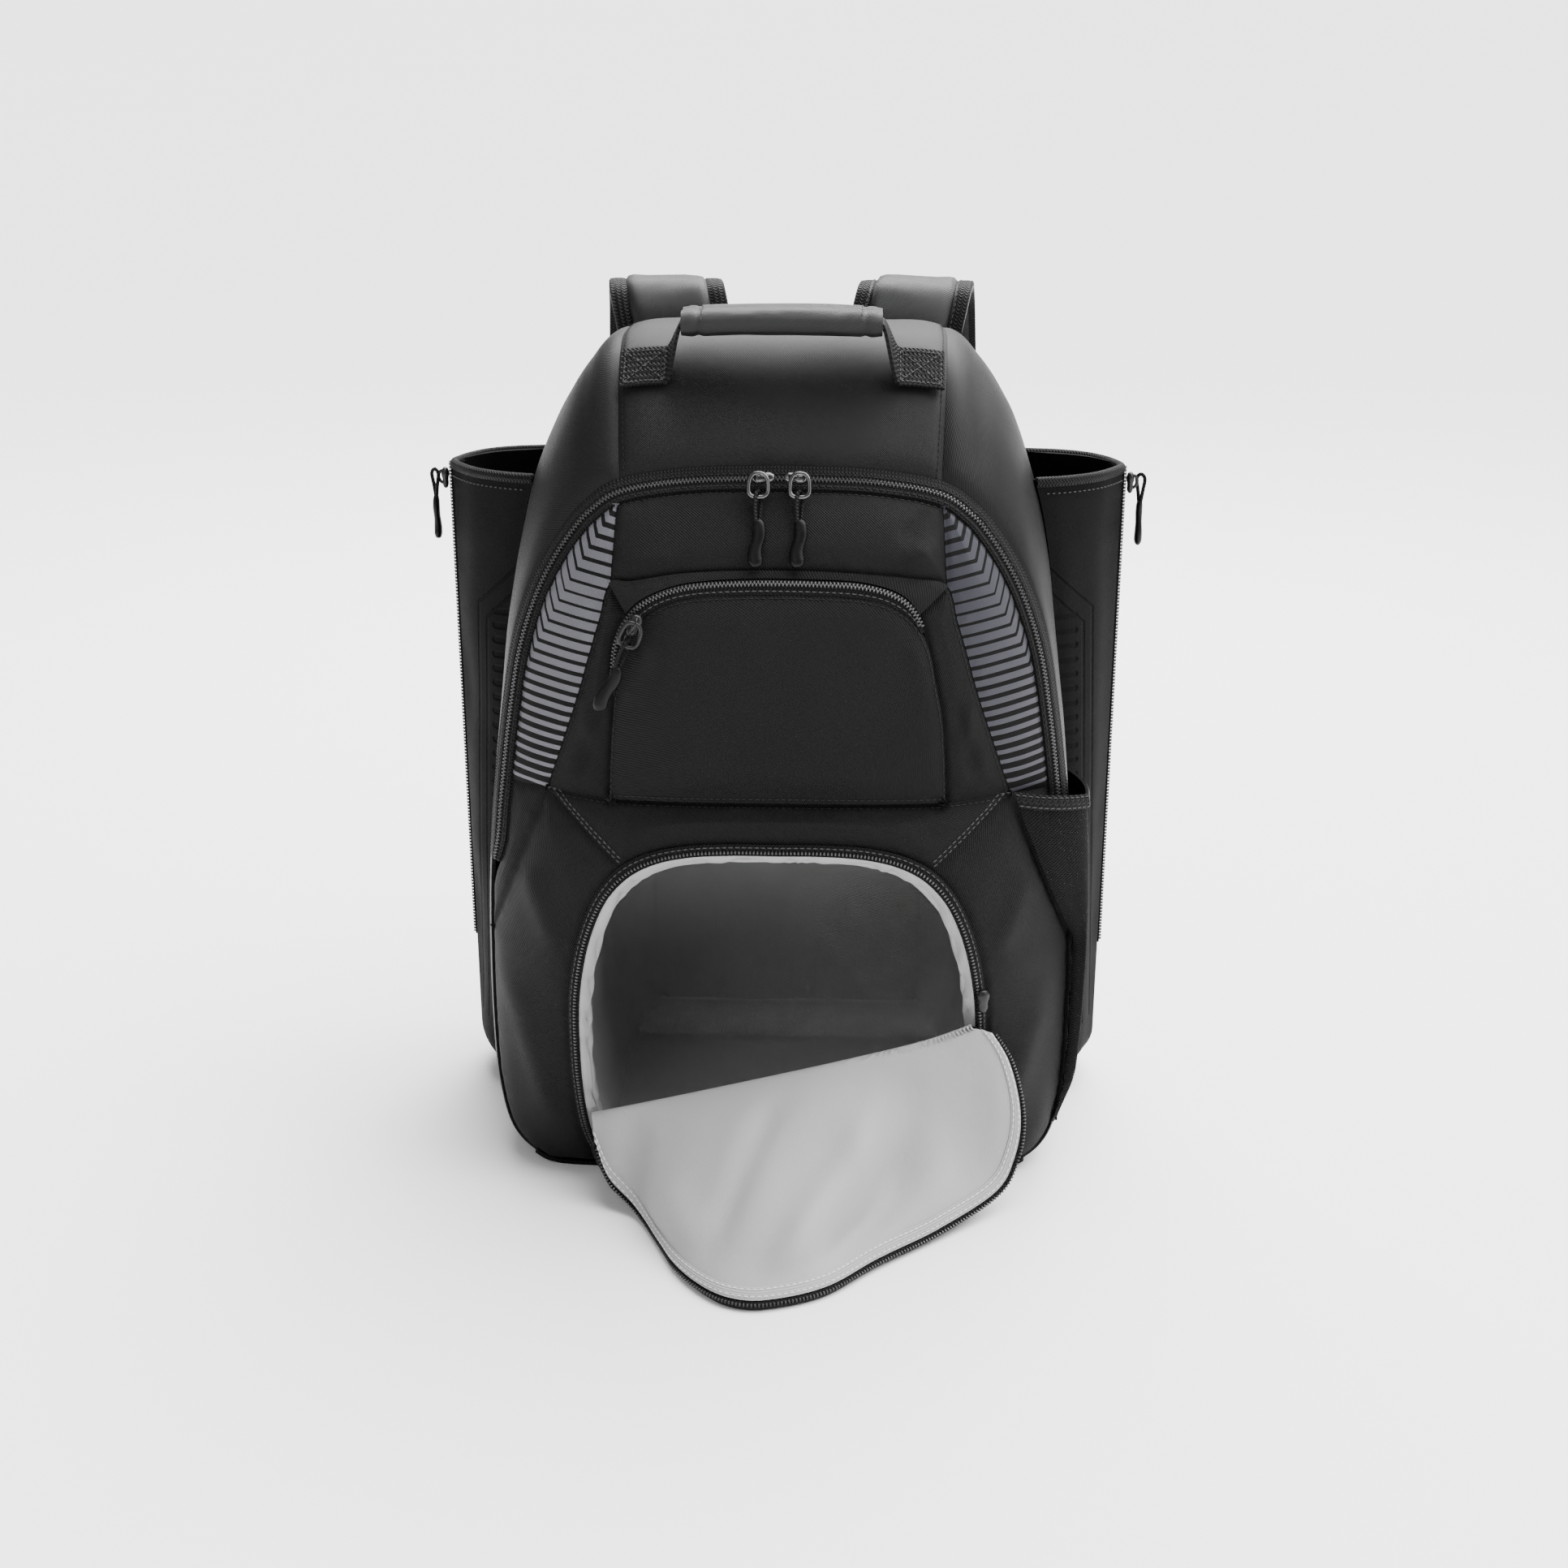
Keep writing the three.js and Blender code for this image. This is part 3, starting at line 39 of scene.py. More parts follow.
# Lengths are in millimetres here, and addMesh turns them into metres.
bag = {
    "width": 338, "height": 470, "seamReach": 73, "backReach": 95, "crestAt": 20,
    "crownReach": 132, "pillowCentre": 200, "crownPower": 4, "fullness": 2.3,
    "shoulderRow": 2, "cornerRow": 16, "gap": 0.3, "gussetWall": 2.4, "clothWall": 2.0,
}
zips = {
    "width": 7.5, "wall": 1.6, "endRow": 10.5, "chevronTopRow": 2.2, "chevronEndRow": 9.15,
    "stripEndRow": 11.5, "pocketStart": 2,
}
pocket = {
    "seamHeight": 232.5, "halfWidth": 91, "height": 125, "lift": 3,
    "leftCorner": 5, "rightCorner": 12,
}
opening = {"halfWidth": 117, "height": 212.5, "tape": 6, "clear": 4, "backPad": 8}


def readColumns(names, rows):
    # a table's columns by name
    return dict(zip(names.split(), np.array(rows, float).T))


# Half outline from the top centre round to the base centre, in shares of the bag's sizes
outline = readColumns("seamX seamZ seamY crestX crestZ backX backZ", [
    [0.000, 0.866, 0.795, 0.000, 1.000, 0.000, 0.981],
    [0.284, 0.863, 0.795, 0.296, 1.000, 0.296, 0.981],
    [0.515, 0.850, 0.808, 0.538, 0.994, 0.533, 0.976],
    [0.633, 0.824, 0.829, 0.651, 0.957, 0.639, 0.940],
    [0.716, 0.789, 0.849, 0.734, 0.913, 0.716, 0.896],
    [0.787, 0.747, 0.877, 0.799, 0.862, 0.781, 0.847],
    [0.840, 0.702, 0.904, 0.852, 0.804, 0.834, 0.791],
    [0.882, 0.651, 0.932, 0.888, 0.734, 0.873, 0.726],
    [0.914, 0.587, 0.959, 0.914, 0.649, 0.899, 0.645],
    [0.944, 0.511, 0.979, 0.941, 0.549, 0.923, 0.547],
    [0.967, 0.436, 0.993, 0.964, 0.453, 0.947, 0.453],
    [0.985, 0.351, 1.000, 0.985, 0.357, 0.964, 0.357],
    [0.994, 0.255, 1.000, 0.997, 0.257, 0.976, 0.257],
    [0.994, 0.166, 1.014, 1.000, 0.166, 0.982, 0.166],
    [0.982, 0.094, 1.041, 0.994, 0.091, 0.976, 0.091],
    [0.935, 0.038, 1.151, 0.959, 0.034, 0.941, 0.034],
    [0.846, 0.011, 1.260, 0.882, 0.007, 0.870, 0.007],
    [0.722, 0.000, 1.315, 0.757, 0.000, 0.751, 0.000],
    [0.355, 0.000, 1.356, 0.355, 0.000, 0.355, 0.000],
    [0.000, 0.000, 1.370, 0.000, 0.000, 0.000, 0.000]])
crown = readColumns("up ahead", [
    [0.000, 0.955], [0.064, 0.973], [0.170, 1.004], [0.298, 1.000], [0.394, 0.977],
    [0.457, 0.909], [0.500, 0.830], [0.638, 0.826], [0.745, 0.848], [1.000, 0.848]])
mouth = readColumns("across up", [
    [0.000, 1.000], [0.222, 1.000], [0.427, 0.993], [0.598, 0.972], [0.735, 0.932],
    [0.838, 0.868], [0.915, 0.776], [0.966, 0.673], [0.996, 0.555], [1.000, 0.433],
    [0.991, 0.292], [0.966, 0.160], [0.923, 0.066], [0.880, 0.014]])
pocketTable = readColumns("edgeX edgeZ seamX seamZ tape", [
    [-1.000, 0.000, -1.404, 0.016, 0.0],
    [-0.989, 0.180, -1.297, 0.236, 0.0],
    [-0.967, 0.380, -1.192, 0.460, 0.0],
    [-0.945, 0.524, -1.121, 0.636, 0.5],
    [-0.907, 0.652, -1.060, 0.780, 1.0],
    [-0.835, 0.764, -0.992, 0.932, 1.0],
    [-0.703, 0.848, -0.857, 0.948, 1.0],
    [-0.505, 0.892, -0.571, 0.984, 1.0],
    [-0.176, 0.908, -0.198, 1.000, 1.0],
    [0.176, 0.908, 0.198, 1.000, 1.0],
    [0.484, 0.896, 0.505, 0.988, 1.0],
    [0.659, 0.864, 0.791, 0.968, 1.0],
    [0.791, 0.800, 0.992, 0.932, 0.5],
    [0.879, 0.684, 1.060, 0.780, 0.0],
    [0.923, 0.540, 1.121, 0.636, 0.0],
    [0.967, 0.380, 1.192, 0.460, 0.0],
    [0.989, 0.180, 1.297, 0.236, 0.0],
    [1.000, 0.000, 1.404, 0.016, 0.0]])


def mix(a, b, share):
    return a + (b - a) * share


def unit(v):
    return v / np.maximum(np.linalg.norm(v, axis=-1, keepdims=True), 1e-9)


def smooth(x, low, high):
    t = np.clip((x - low) / (high - low), 0, 1)
    return t * t * (3 - 2 * t)


def squared(value, power):
    # a sine or cosine whose powers below 1 make a circle squarer
    return np.sign(value) * np.abs(value) ** power


def rowCurve(points, rows):
    # uniform Catmull-Rom through the points at fractional row numbers, its ends carried on straight
    held = np.vstack([2 * points[0] - points[1], points, 2 * points[-1] - points[-2]])
    rows = np.clip(np.asarray(rows, float), 0, len(points) - 1)
    i = np.minimum(rows.astype(int), len(points) - 2)
    w = (rows - i)[..., None]
    a, b, c, d = held[i], held[i + 1], held[i + 2], held[i + 3]
    start, end = (c - a) / 2, (d - b) / 2
    cubic = (2 * b - 2 * c + start + end) * w ** 3
    return cubic + (3 * c - 3 * b - 2 * start - end) * w ** 2 + start * w + b


half = bag["width"] / 2
seamPoints = np.stack([outline["seamX"] * half, -outline["seamY"] * bag["seamReach"],
                       outline["seamZ"] * bag["height"]], -1)
crestPoints = np.stack([outline["crestX"] * half, np.full(20, float(bag["crestAt"])),
                        outline["crestZ"] * bag["height"]], -1)
backPoints = np.stack([outline["backX"] * half, np.full(20, float(bag["backReach"])),
                       outline["backZ"] * bag["height"]], -1)
lastRow = len(seamPoints) - 1


def ringPoint(points, rows, inset=0.0):
    # a point of the outline, drawn in by inset across its own direction; negative rows are on the left
    rows = np.asarray(rows, float)
    side = np.where(rows < 0, -1.0, 1.0)
    at = np.abs(rows)
    p = rowCurve(points, at)
    run = unit((rowCurve(points, at + 0.05) - rowCurve(points, at - 0.05))[..., [0, 2]])
    x = np.maximum(p[..., 0] + run[..., 1] * inset, 0) * side
    z = np.maximum(p[..., 2], 0) - run[..., 0] * inset
    return np.stack([x, p[..., 1], z], -1)


def gussetPoint(rows, depth, inset=0.0):
    # front seam to crest by 1 - (1 - t)^fullness, then crest to back seam by t squared
    seam, crest, back = (ringPoint(p, rows, inset) for p in (seamPoints, crestPoints, backPoints))
    turn = (crest[..., 1] - seam[..., 1]) / (back[..., 1] - seam[..., 1])
    rise = 1 - np.maximum(1 - depth / turn, 0) ** bag["fullness"]
    fall = np.maximum((depth - turn) / (1 - turn), 0) ** 2
    y = mix(seam[..., 1], back[..., 1], depth)
    first = depth <= turn
    x = np.where(first, mix(seam[..., 0], crest[..., 0], rise), mix(crest[..., 0], back[..., 0], fall))
    z = np.where(first, mix(seam[..., 2], crest[..., 2], rise), mix(crest[..., 2], back[..., 2], fall))
    return np.stack([x, y, z], -1)


# Half width of the gusset against depth y and height z, as a table read between its points
widthYs = np.linspace(-76, bag["backReach"], 61)
widthZs = np.linspace(2, 452, 181)
tableRows = np.linspace(bag["shoulderRow"], bag["cornerRow"] + 1, 201)
frontYs = ringPoint(seamPoints, tableRows)[:, 1]
tableDepth = np.clip((widthYs[:, None] - frontYs) / (bag["backReach"] - frontYs), 0, 1)
tablePoints = gussetPoint(np.broadcast_to(tableRows, tableDepth.shape), tableDepth)
widthTable = np.array([np.interp(widthZs, line[::-1, 2], line[::-1, 0]) for line in tablePoints])


def gussetHalfWidth(y, z):
    fy = np.clip((y - widthYs[0]) / (widthYs[1] - widthYs[0]), 0, len(widthYs) - 1.001)
    fz = np.clip((z - widthZs[0]) / (widthZs[1] - widthZs[0]), 0, len(widthZs) - 1.001)
    fy, fz = np.broadcast_arrays(fy, fz)
    i, j = fy.astype(int), fz.astype(int)
    low = mix(widthTable[i, j], widthTable[i, j + 1], fz - j)
    high = mix(widthTable[i + 1, j], widthTable[i + 1, j + 1], fz - j)
    return mix(low, high, fy - i)


# Front pillow: the crown line up the middle falls to the seam by the fourth power of the reach
sweep = rowCurve(seamPoints, np.linspace(0, lastRow, 161))
sweepZ = np.maximum(sweep[:, 2], 0) - bag["pillowCentre"]
sweepAngle = np.arctan2(sweep[:, 0], sweepZ)
sweepRadius = np.hypot(sweep[:, 0], sweepZ)
crownZ = np.linspace(0, bag["height"], 471)
crownY = np.interp(crownZ, crown["up"] * bag["height"], -crown["ahead"] * bag["crownReach"])
crownY = np.convolve(np.pad(crownY, 4, mode="edge"), np.ones(9) / 9, mode="valid")


def frontDepth(x, z):
    angle = np.arctan2(np.abs(x), z - bag["pillowCentre"])
    reach = np.hypot(x, z - bag["pillowCentre"]) / np.interp(angle, sweepAngle, sweepRadius)
    fall = np.minimum(reach, 1) ** bag["crownPower"]
    return mix(np.interp(z, crownZ, crownY), np.interp(angle, sweepAngle, sweep[:, 1]), fall)


def onFront(x, z):
    return np.stack([x, frontDepth(x, z), z], -1)


def between(a, b, count):
    # count even places across from each point of line a to its own point of line b
    share = np.linspace(0, 1, count)[None, :, None]
    flat = a[:, None] * (1 - share) + b[:, None] * share
    return flat[..., 0], flat[..., 1]


def relax(p, times, share=1.0):
    # a grid's inner points move towards the middle of their neighbours
    for _ in range(times):
        middle = (p[:-2, 1:-1] + p[2:, 1:-1] + p[1:-1, :-2] + p[1:-1, 2:]) / 4
        p[1:-1, 1:-1] = mix(p[1:-1, 1:-1], middle, share)


def resample(line, count):
    # the same line with its points at even distances
    line = np.asarray(line, float)
    at = np.concatenate([[0], np.cumsum(np.linalg.norm(np.diff(line, axis=0), axis=1))])
    want = np.linspace(0, at[-1], count)
    return np.stack([np.interp(want, at, line[:, k]) for k in range(line.shape[1])], -1)


def softNoise(x, y, cell, seed):
    # value noise: random heights on a lattice, joined smoothly, from -1 to 1
    lattice = np.random.default_rng(seed).uniform(-1, 1, (64, 64))
    fx, fy = x / cell + 32.5, y / cell + 32.5
    i, j = np.floor(fx).astype(int), np.floor(fy).astype(int)
    tx, ty = smooth(fx - i, 0, 1), smooth(fy - j, 0, 1)
    pick = lambda a, b: lattice[a % 64, b % 64]
    return mix(mix(pick(i, j), pick(i + 1, j), tx), mix(pick(i, j + 1), pick(i + 1, j + 1), tx), ty)


def crease(x, y, line, height, width):
    # a soft ridge along a straight line, fading towards both of its ends
    a, b = np.array(line[0], float), np.array(line[1], float)
    run = b - a
    length = np.linalg.norm(run)
    t = ((x - a[0]) * run[0] + (y - a[1]) * run[1]) / length ** 2
    off = ((x - a[0]) * run[1] - (y - a[1]) * run[0]) / length
    fade = smooth(t, -0.15, 0.25) * (1 - smooth(t, 0.75, 1.15))
    return height * fade * np.exp(-(off / width) ** 2)


# Materials


class Signal:
    # a number socket that adds Math nodes as it is used in an expression

    def __init__(self, finish, socket):
        self.finish = finish
        self.socket = socket

    def join(self, operation, other, swap=False):
        pair = [other, self] if swap else [self, other]
        return self.finish.number("ShaderNodeMath", {"operation": operation}, dict(enumerate(pair)))

    def alone(self, operation):
        return self.finish.number("ShaderNodeMath", {"operation": operation}, {0: self})

    def __add__(self, other):
        return self.join("ADD", other)

    def __sub__(self, other):
        return self.join("SUBTRACT", other)

    def __rsub__(self, other):
        return self.join("SUBTRACT", other, True)

    def __mul__(self, other):
        return self.join("MULTIPLY", other)

    def __pow__(self, other):
        return self.join("POWER", other)

    def __gt__(self, other):
        return self.join("GREATER_THAN", other)

    def __lt__(self, other):
        return self.join("LESS_THAN", other)

    __radd__ = __add__
    __rmul__ = __mul__


class Finish:
    # one material, with a single way to add any node

    def __init__(self, name):
        self.material = bpy.data.materials.new(name)
        self.material.use_nodes = True
        self.tree = self.material.node_tree
        self.shader = next(n for n in self.tree.nodes if n.type == "BSDF_PRINCIPLED")

    def put(self, socket, value):
        if isinstance(value, Signal):
            self.tree.links.new(value.socket, socket)
        elif isinstance(value, bpy.types.NodeSocket):
            self.tree.links.new(value, socket)
        else:
            socket.default_value = value

    def node(self, kind, settings=None, inputs=None):
        node = self.tree.nodes.new(kind)
        for key, value in (settings or {}).items():
            setattr(node, key, value)
        for key, value in (inputs or {}).items():
            self.put(node.inputs[key], value)
        return node

    def number(self, kind, settings=None, inputs=None):
        return Signal(self, self.node(kind, settings, inputs).outputs[0])

    def map(self, name, scale=1000):
        # both values of one of the piece's own maps; a map kept in metres is read in millimetres
        uv = self.node("ShaderNodeUVMap", {"uv_map": name})
        parts = self.node("ShaderNodeSeparateXYZ", None, {0: uv.outputs[0]})
        return [Signal(self, parts.outputs[k]) * scale for k in (0, 1)]

    def cloth(self):
        return self.map("cloth")

    def place(self):
        return self.node("ShaderNodeTexCoord").outputs["Object"]

    def noise(self, scale, detail):
        inputs = {"Vector": self.place(), "Scale": scale, "Detail": detail}
        return self.number("ShaderNodeTexNoise", None, inputs)

    def colours(self, factor, dark, light):
        node = self.node("ShaderNodeMix", {"data_type": "RGBA"}, {0: factor, 6: dark, 7: light})
        return node.outputs[2]

    def bump(self, height, depth):
        inputs = {"Height": height, "Distance": depth * 0.001, "Strength": 1.0}
        self.put(self.shader.inputs["Normal"], self.node("ShaderNodeBump", None, inputs).outputs[0])

    def set(self, **values):
        for key, value in values.items():
            self.put(self.shader.inputs[key.replace("_", " ")], value)


def grey(level, tint=(1.0, 1.0, 1.0)):
    # linear colour from a display grey of 0 to 255
    linear = (level / 255) ** 2.2
    return [linear * t for t in tint] + [1.0]


def wavy(a, pitch):
    return (a * (2 * np.pi / pitch)).alone("SINE")


# slot, kind, grey, how far its light and dark lie from it, pitch and depth of the threads, roughness,
# specular
weaves = {
    "twill": ("twill", "twill", 16, 0.5, 1.6, 0.2, 0.6, 0.13),
    "satin": ("gusset", "twill", 15, 0.3, 1.2, 0.1, 0.44, 0.17),
    "liner": ("lining", "twill", 150, 0.09, 1.1, 0.08, 0.5, 0.3),
    "grosgrain": ("lining", "rib", 150, 0.3, 1.5, 0.3, 0.65, 0.2),
    "tape": ("tape", "herring", 17, 0.85, 1.9, 0.5, 0.6, 0.13),
    "webbing": ("webbing", "herring", 19, 0.9, 2.3, 0.7, 0.58, 0.13),
    "padcloth": ("padding", "twill", 18, 0.4, 1.3, 0.16, 0.4, 0.3),
}


def makeWeave(name):
    # threads as sine ridges: crossing sets for twill and ribs, folded ones for herringbone
    slot, kind, tone, spread, pitch, depth, rough, shine = weaves[name]
    finish = Finish(name)
    u, v = finish.cloth()
    if kind == "twill":
        threads = wavy(u + v, pitch) * 0.5 + wavy(u - v * 1.6, pitch * 0.63) * 0.22 + 0.5
    elif kind == "rib":
        threads = wavy(v, pitch) * 0.42 + wavy(u, pitch * 0.8) * 0.12 + 0.5
    else:
        fold = wavy(u, pitch * 3.2).alone("ABSOLUTE") * pitch * 0.7
        threads = wavy(v + fold, pitch) * 0.5 + 0.5
    cloudy = finish.noise(16.0, 3.0) * 0.5 + finish.noise(620.0, 1.0) * 0.5
    dark, light = grey(tone, [1 - spread] * 3), grey(tone, [1 + spread] * 3)
    finish.set(Base_Color=finish.colours(threads * 0.62 + cloudy * 0.38, dark, light),
               Roughness=threads * -0.08 + rough + 0.04, Specular_IOR_Level=shine)
    finish.bump(threads + cloudy * 0.4, depth)
    return finish.material, slot


def makeChevron():
    # the map's first value counts stripes, its second says how much of each one is black
    finish = Finish("chevron")
    count, share = finish.map("stripes", 1)
    black = share > count.alone("FRACT")
    u, v = finish.cloth()
    threads = wavy(u + v, 1.2) * 0.5 + 0.5
    sheen = finish.noise(30.0, 2.0)
    ink = finish.colours(threads * 0.5 + sheen * 0.5, grey(74, (0.98, 0.98, 1.12)),
                         grey(104, (0.98, 0.98, 1.08)))
    place = finish.node("ShaderNodeSeparateXYZ", None, {0: finish.place()})
    # painted shade: the right panel's ink is darkened towards a dark violet grey, most of all near the pocket
    side = Signal(finish, place.outputs[0])
    shade = finish.number("ShaderNodeMapRange", None, {0: side, 1: 0.08, 2: 0.15, 3: 0.9, 4: 0.4})
    ink = finish.colours(shade * (side > 0.0), ink, grey(40, (0.95, 0.95, 1.3)))
    cloth = finish.colours(threads, grey(6), grey(18))
    both = finish.colours(black, ink, cloth)
    finish.set(Base_Color=both, Roughness=black * 0.3 + 0.42, Metallic=(1 - black) * 0.25,
               Specular_IOR_Level=0.12)
    finish.bump(threads * 0.4 - black * 0.5, 0.15)
    return finish.material, "chevron"


def makeNetting():
    # stretch net: round holes in staggered rows, seen through
    finish = Finish("netting")
    u, v = finish.cloth()
    cells = wavy(u, 2.2) * wavy(v, 1.7)
    hole = cells > 0.42
    finish.set(Base_Color=finish.colours(cells * 0.5 + 0.5, grey(26), grey(10)), Roughness=0.8,
               Specular_IOR_Level=0.12, Alpha=1 - hole * 0.85)
    finish.bump(cells * -1.0, 0.3)
    return finish.material, "mesh"


def makeAirMesh(name, tone):
    # spacer mesh: deep round cells in a light thread grid, the cells painted darker as shade in their hollows
    finish = Finish(name)
    u, v = finish.cloth()
    cells = wavy(u, 3.6) * wavy(v, 3.2)
    deep = cells.alone("ABSOLUTE")
    finish.set(Base_Color=finish.colours(deep, grey(tone), grey(tone * 0.35)), Roughness=0.8,
               Specular_IOR_Level=0.2)
    finish.bump(deep * -1.0, 0.9)
    return finish.material, "padding"


# slot, darkest and lightest grey, roughness, metal, scale of its cloudiness, specular
solids = {
    "thread": ("webbing", 52, 70, 0.6, 0.0, 900, 0.15),
    "blackThread": ("webbing", 24, 34, 0.6, 0.0, 900, 0.15),
    "paleThread": ("lining", 190, 210, 0.6, 0.0, 900, 0.15),
    "teeth": ("tape", 34, 66, 0.3, 0.0, 700, 0.4),
    "gunmetal": ("gunmetal", 62, 104, 0.16, 0.95, 220, 0.15),
    "darkMetal": ("gunmetal", 36, 60, 0.3, 0.8, 220, 0.15),
    "rubber": ("rubber", 7, 15, 0.36, 0.0, 160, 0.15),
    "plastic": ("plastic", 12, 20, 0.38, 0.0, 160, 0.15),
}


def makeSolid(name):
    # thread, metal and moulded pieces: a little cloudiness in colour and shine
    slot, dark, light, rough, metal, scale, shine = solids[name]
    finish = Finish(name)
    cloudy = finish.noise(scale, 3.0)
    finish.set(Base_Color=finish.colours(cloudy, grey(dark), grey(light)), Metallic=metal,
               Roughness=cloudy * 0.12 + rough, Specular_IOR_Level=shine)
    finish.bump(cloudy, 0.05)
    return finish.material, slot


finishes = {name: makeWeave(name) for name in weaves}
finishes.update({name: makeSolid(name) for name in solids})
finishes["chevron"] = makeChevron()
finishes["netting"] = makeNetting()
finishes["airmesh"] = makeAirMesh("airmesh", 150)
finishes["backmesh"] = makeAirMesh("backmesh", 52)
print("finishes made")

# Meshes


def addMesh(name, verts, faces, finish, nodes=(), maps=None):
    # verts in millimetres, faces of equal size; maps are named per-corner pairs
    verts = np.asarray(verts, float) * 0.001
    faces = np.asarray(faces, int)
    mesh = bpy.data.meshes.new(name)
    mesh.vertices.add(len(verts))
    mesh.vertices.foreach_set("co", verts.ravel())
    mesh.loops.add(faces.size)
    mesh.loops.foreach_set("vertex_index", faces.ravel())
    mesh.polygons.add(len(faces))
    mesh.polygons.foreach_set("loop_start", np.arange(len(faces)) * faces.shape[1])
    mesh.update(calc_edges=True)
    for key, values in (maps or {}).items():
        layer = mesh.uv_layers.new(name=key)
        layer.data.foreach_set("uv", np.asarray(values, float).ravel())
    mesh.validate()
    mesh.polygons.foreach_set("use_smooth", np.ones(len(mesh.polygons), bool))
    mesh.set_sharp_from_angle(angle=np.radians(42))
    piece = bpy.data.objects.new(name, mesh)
    bpy.context.scene.collection.objects.link(piece)
    material, slot = finishes[finish]
    mesh.materials.append(material)
    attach(piece, "root")
    if nodes:
        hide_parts(*nodes)
    return piece


def gridNormals(p, wrap=False):
    if wrap:
        across = np.roll(p, -1, axis=1) - np.roll(p, 1, axis=1)
    else:
        across = np.gradient(p, axis=1)
    return unit(np.cross(across, np.gradient(p, axis=0)))


def outward(p, away):
    # the grid's normals, all of them turned over where they point away from the named side
    normal = gridNormals(p)
    return -normal if np.sum(normal * np.asarray(away, float)) < 0 else normal


def lengths(p, axis):
    # how far along each row or column its points lie
    step = np.linalg.norm(np.diff(p, axis=axis), axis=-1)
    zero = np.zeros_like(step.take([0], axis=axis))
    return np.concatenate([zero, np.cumsum(step, axis=axis)], axis=axis)


def borderDistance(p, sides="left right start end"):
    # how far each point lies from the nearest of the sheet's named sides, along the sheet
    across, along = lengths(p, 1), lengths(p, 0)
    far = {"left": across, "right": across[:, -1:] - across, "start": along, "end": along[-1:] - along}
    return np.min([far[side] for side in sides.split()], axis=0)


grids = {}


def addSheet(name, p, wall, finish, nodes=(), away=(0, -1, 0), wrap=False, maps=None, level=False):
    # a sheet of even thickness: the grid is its outer face, and its inner face lies wall behind;
    # a level sheet takes its thickness straight along away, a wrapped one joins its last column to its first
    p = np.asarray(p, float)
    normal = gridNormals(p, wrap)
    flip = np.sum(normal * np.asarray(away, float)) < 0
    normal = -normal if flip else normal
    if level:
        normal = np.broadcast_to(np.asarray(away, float), p.shape)
    grids[name] = (p, normal)
    rows, cols = p.shape[:2]
    span = cols if wrap else cols - 1
    j, i = (k.ravel() for k in np.meshgrid(np.arange(rows - 1), np.arange(span), indexing="ij"))
    corners = [(j, i), (j, i + 1), (j + 1, i + 1), (j + 1, i)]
    outer = np.stack([a * cols + b % cols for a, b in corners], -1)
    places = np.stack([a * (cols + 1) + b for a, b in corners], -1)
    inner = outer[:, ::-1] + rows * cols
    innerPlaces = places[:, ::-1]
    rimPairs = [(np.zeros(span, int), np.arange(span), 0, 1),
                (np.full(span, rows - 1), np.arange(span), 0, 1)]
    if not wrap:
        rimPairs += [(np.arange(rows - 1), np.zeros(rows - 1, int), 1, 0),
                     (np.arange(rows - 1), np.full(rows - 1, cols - 1), 1, 0)]
    rims, rimPlaces = [], []
    for k, (a, b, stepRow, stepCol) in enumerate(rimPairs):
        first, second = a * cols + b % cols, (a + stepRow) * cols + (b + stepCol) % cols
        spots = [a * (cols + 1) + b, (a + stepRow) * (cols + 1) + b + stepCol]
        quad = np.stack([first, first + rows * cols, second + rows * cols, second], -1)
        spot = np.stack([spots[0], spots[0], spots[1], spots[1]], -1)
        backwards = k in (1, 2)
        rims.append(quad[:, ::-1] if backwards else quad)
        rimPlaces.append(spot[:, ::-1] if backwards else spot)
    faces = np.concatenate([outer, inner] + rims)
    spots = np.concatenate([places, innerPlaces] + rimPlaces)
    if flip:
        faces, spots = faces[:, ::-1], spots[:, ::-1]
    full = np.concatenate([p, p[:, :1] if wrap else p[:, -1:]], axis=1)
    across = lengths(full, 1)
    across = across - across[:, -1:] / 2
    along = np.broadcast_to(lengths(full, 0).mean(axis=1, keepdims=True), across.shape)
    made = {"cloth": np.stack([across, along], -1).reshape(-1, 2)[spots] * 0.001}
    for key, values in (maps or {}).items():
        wide = np.concatenate([values, values[:, -1:]], axis=1)
        made[key] = wide.reshape(-1, 2)[spots]
    verts = np.concatenate([p.reshape(-1, 3), (p - normal * wall).reshape(-1, 3)])
    return addMesh(name, verts, faces, finish, nodes, made)


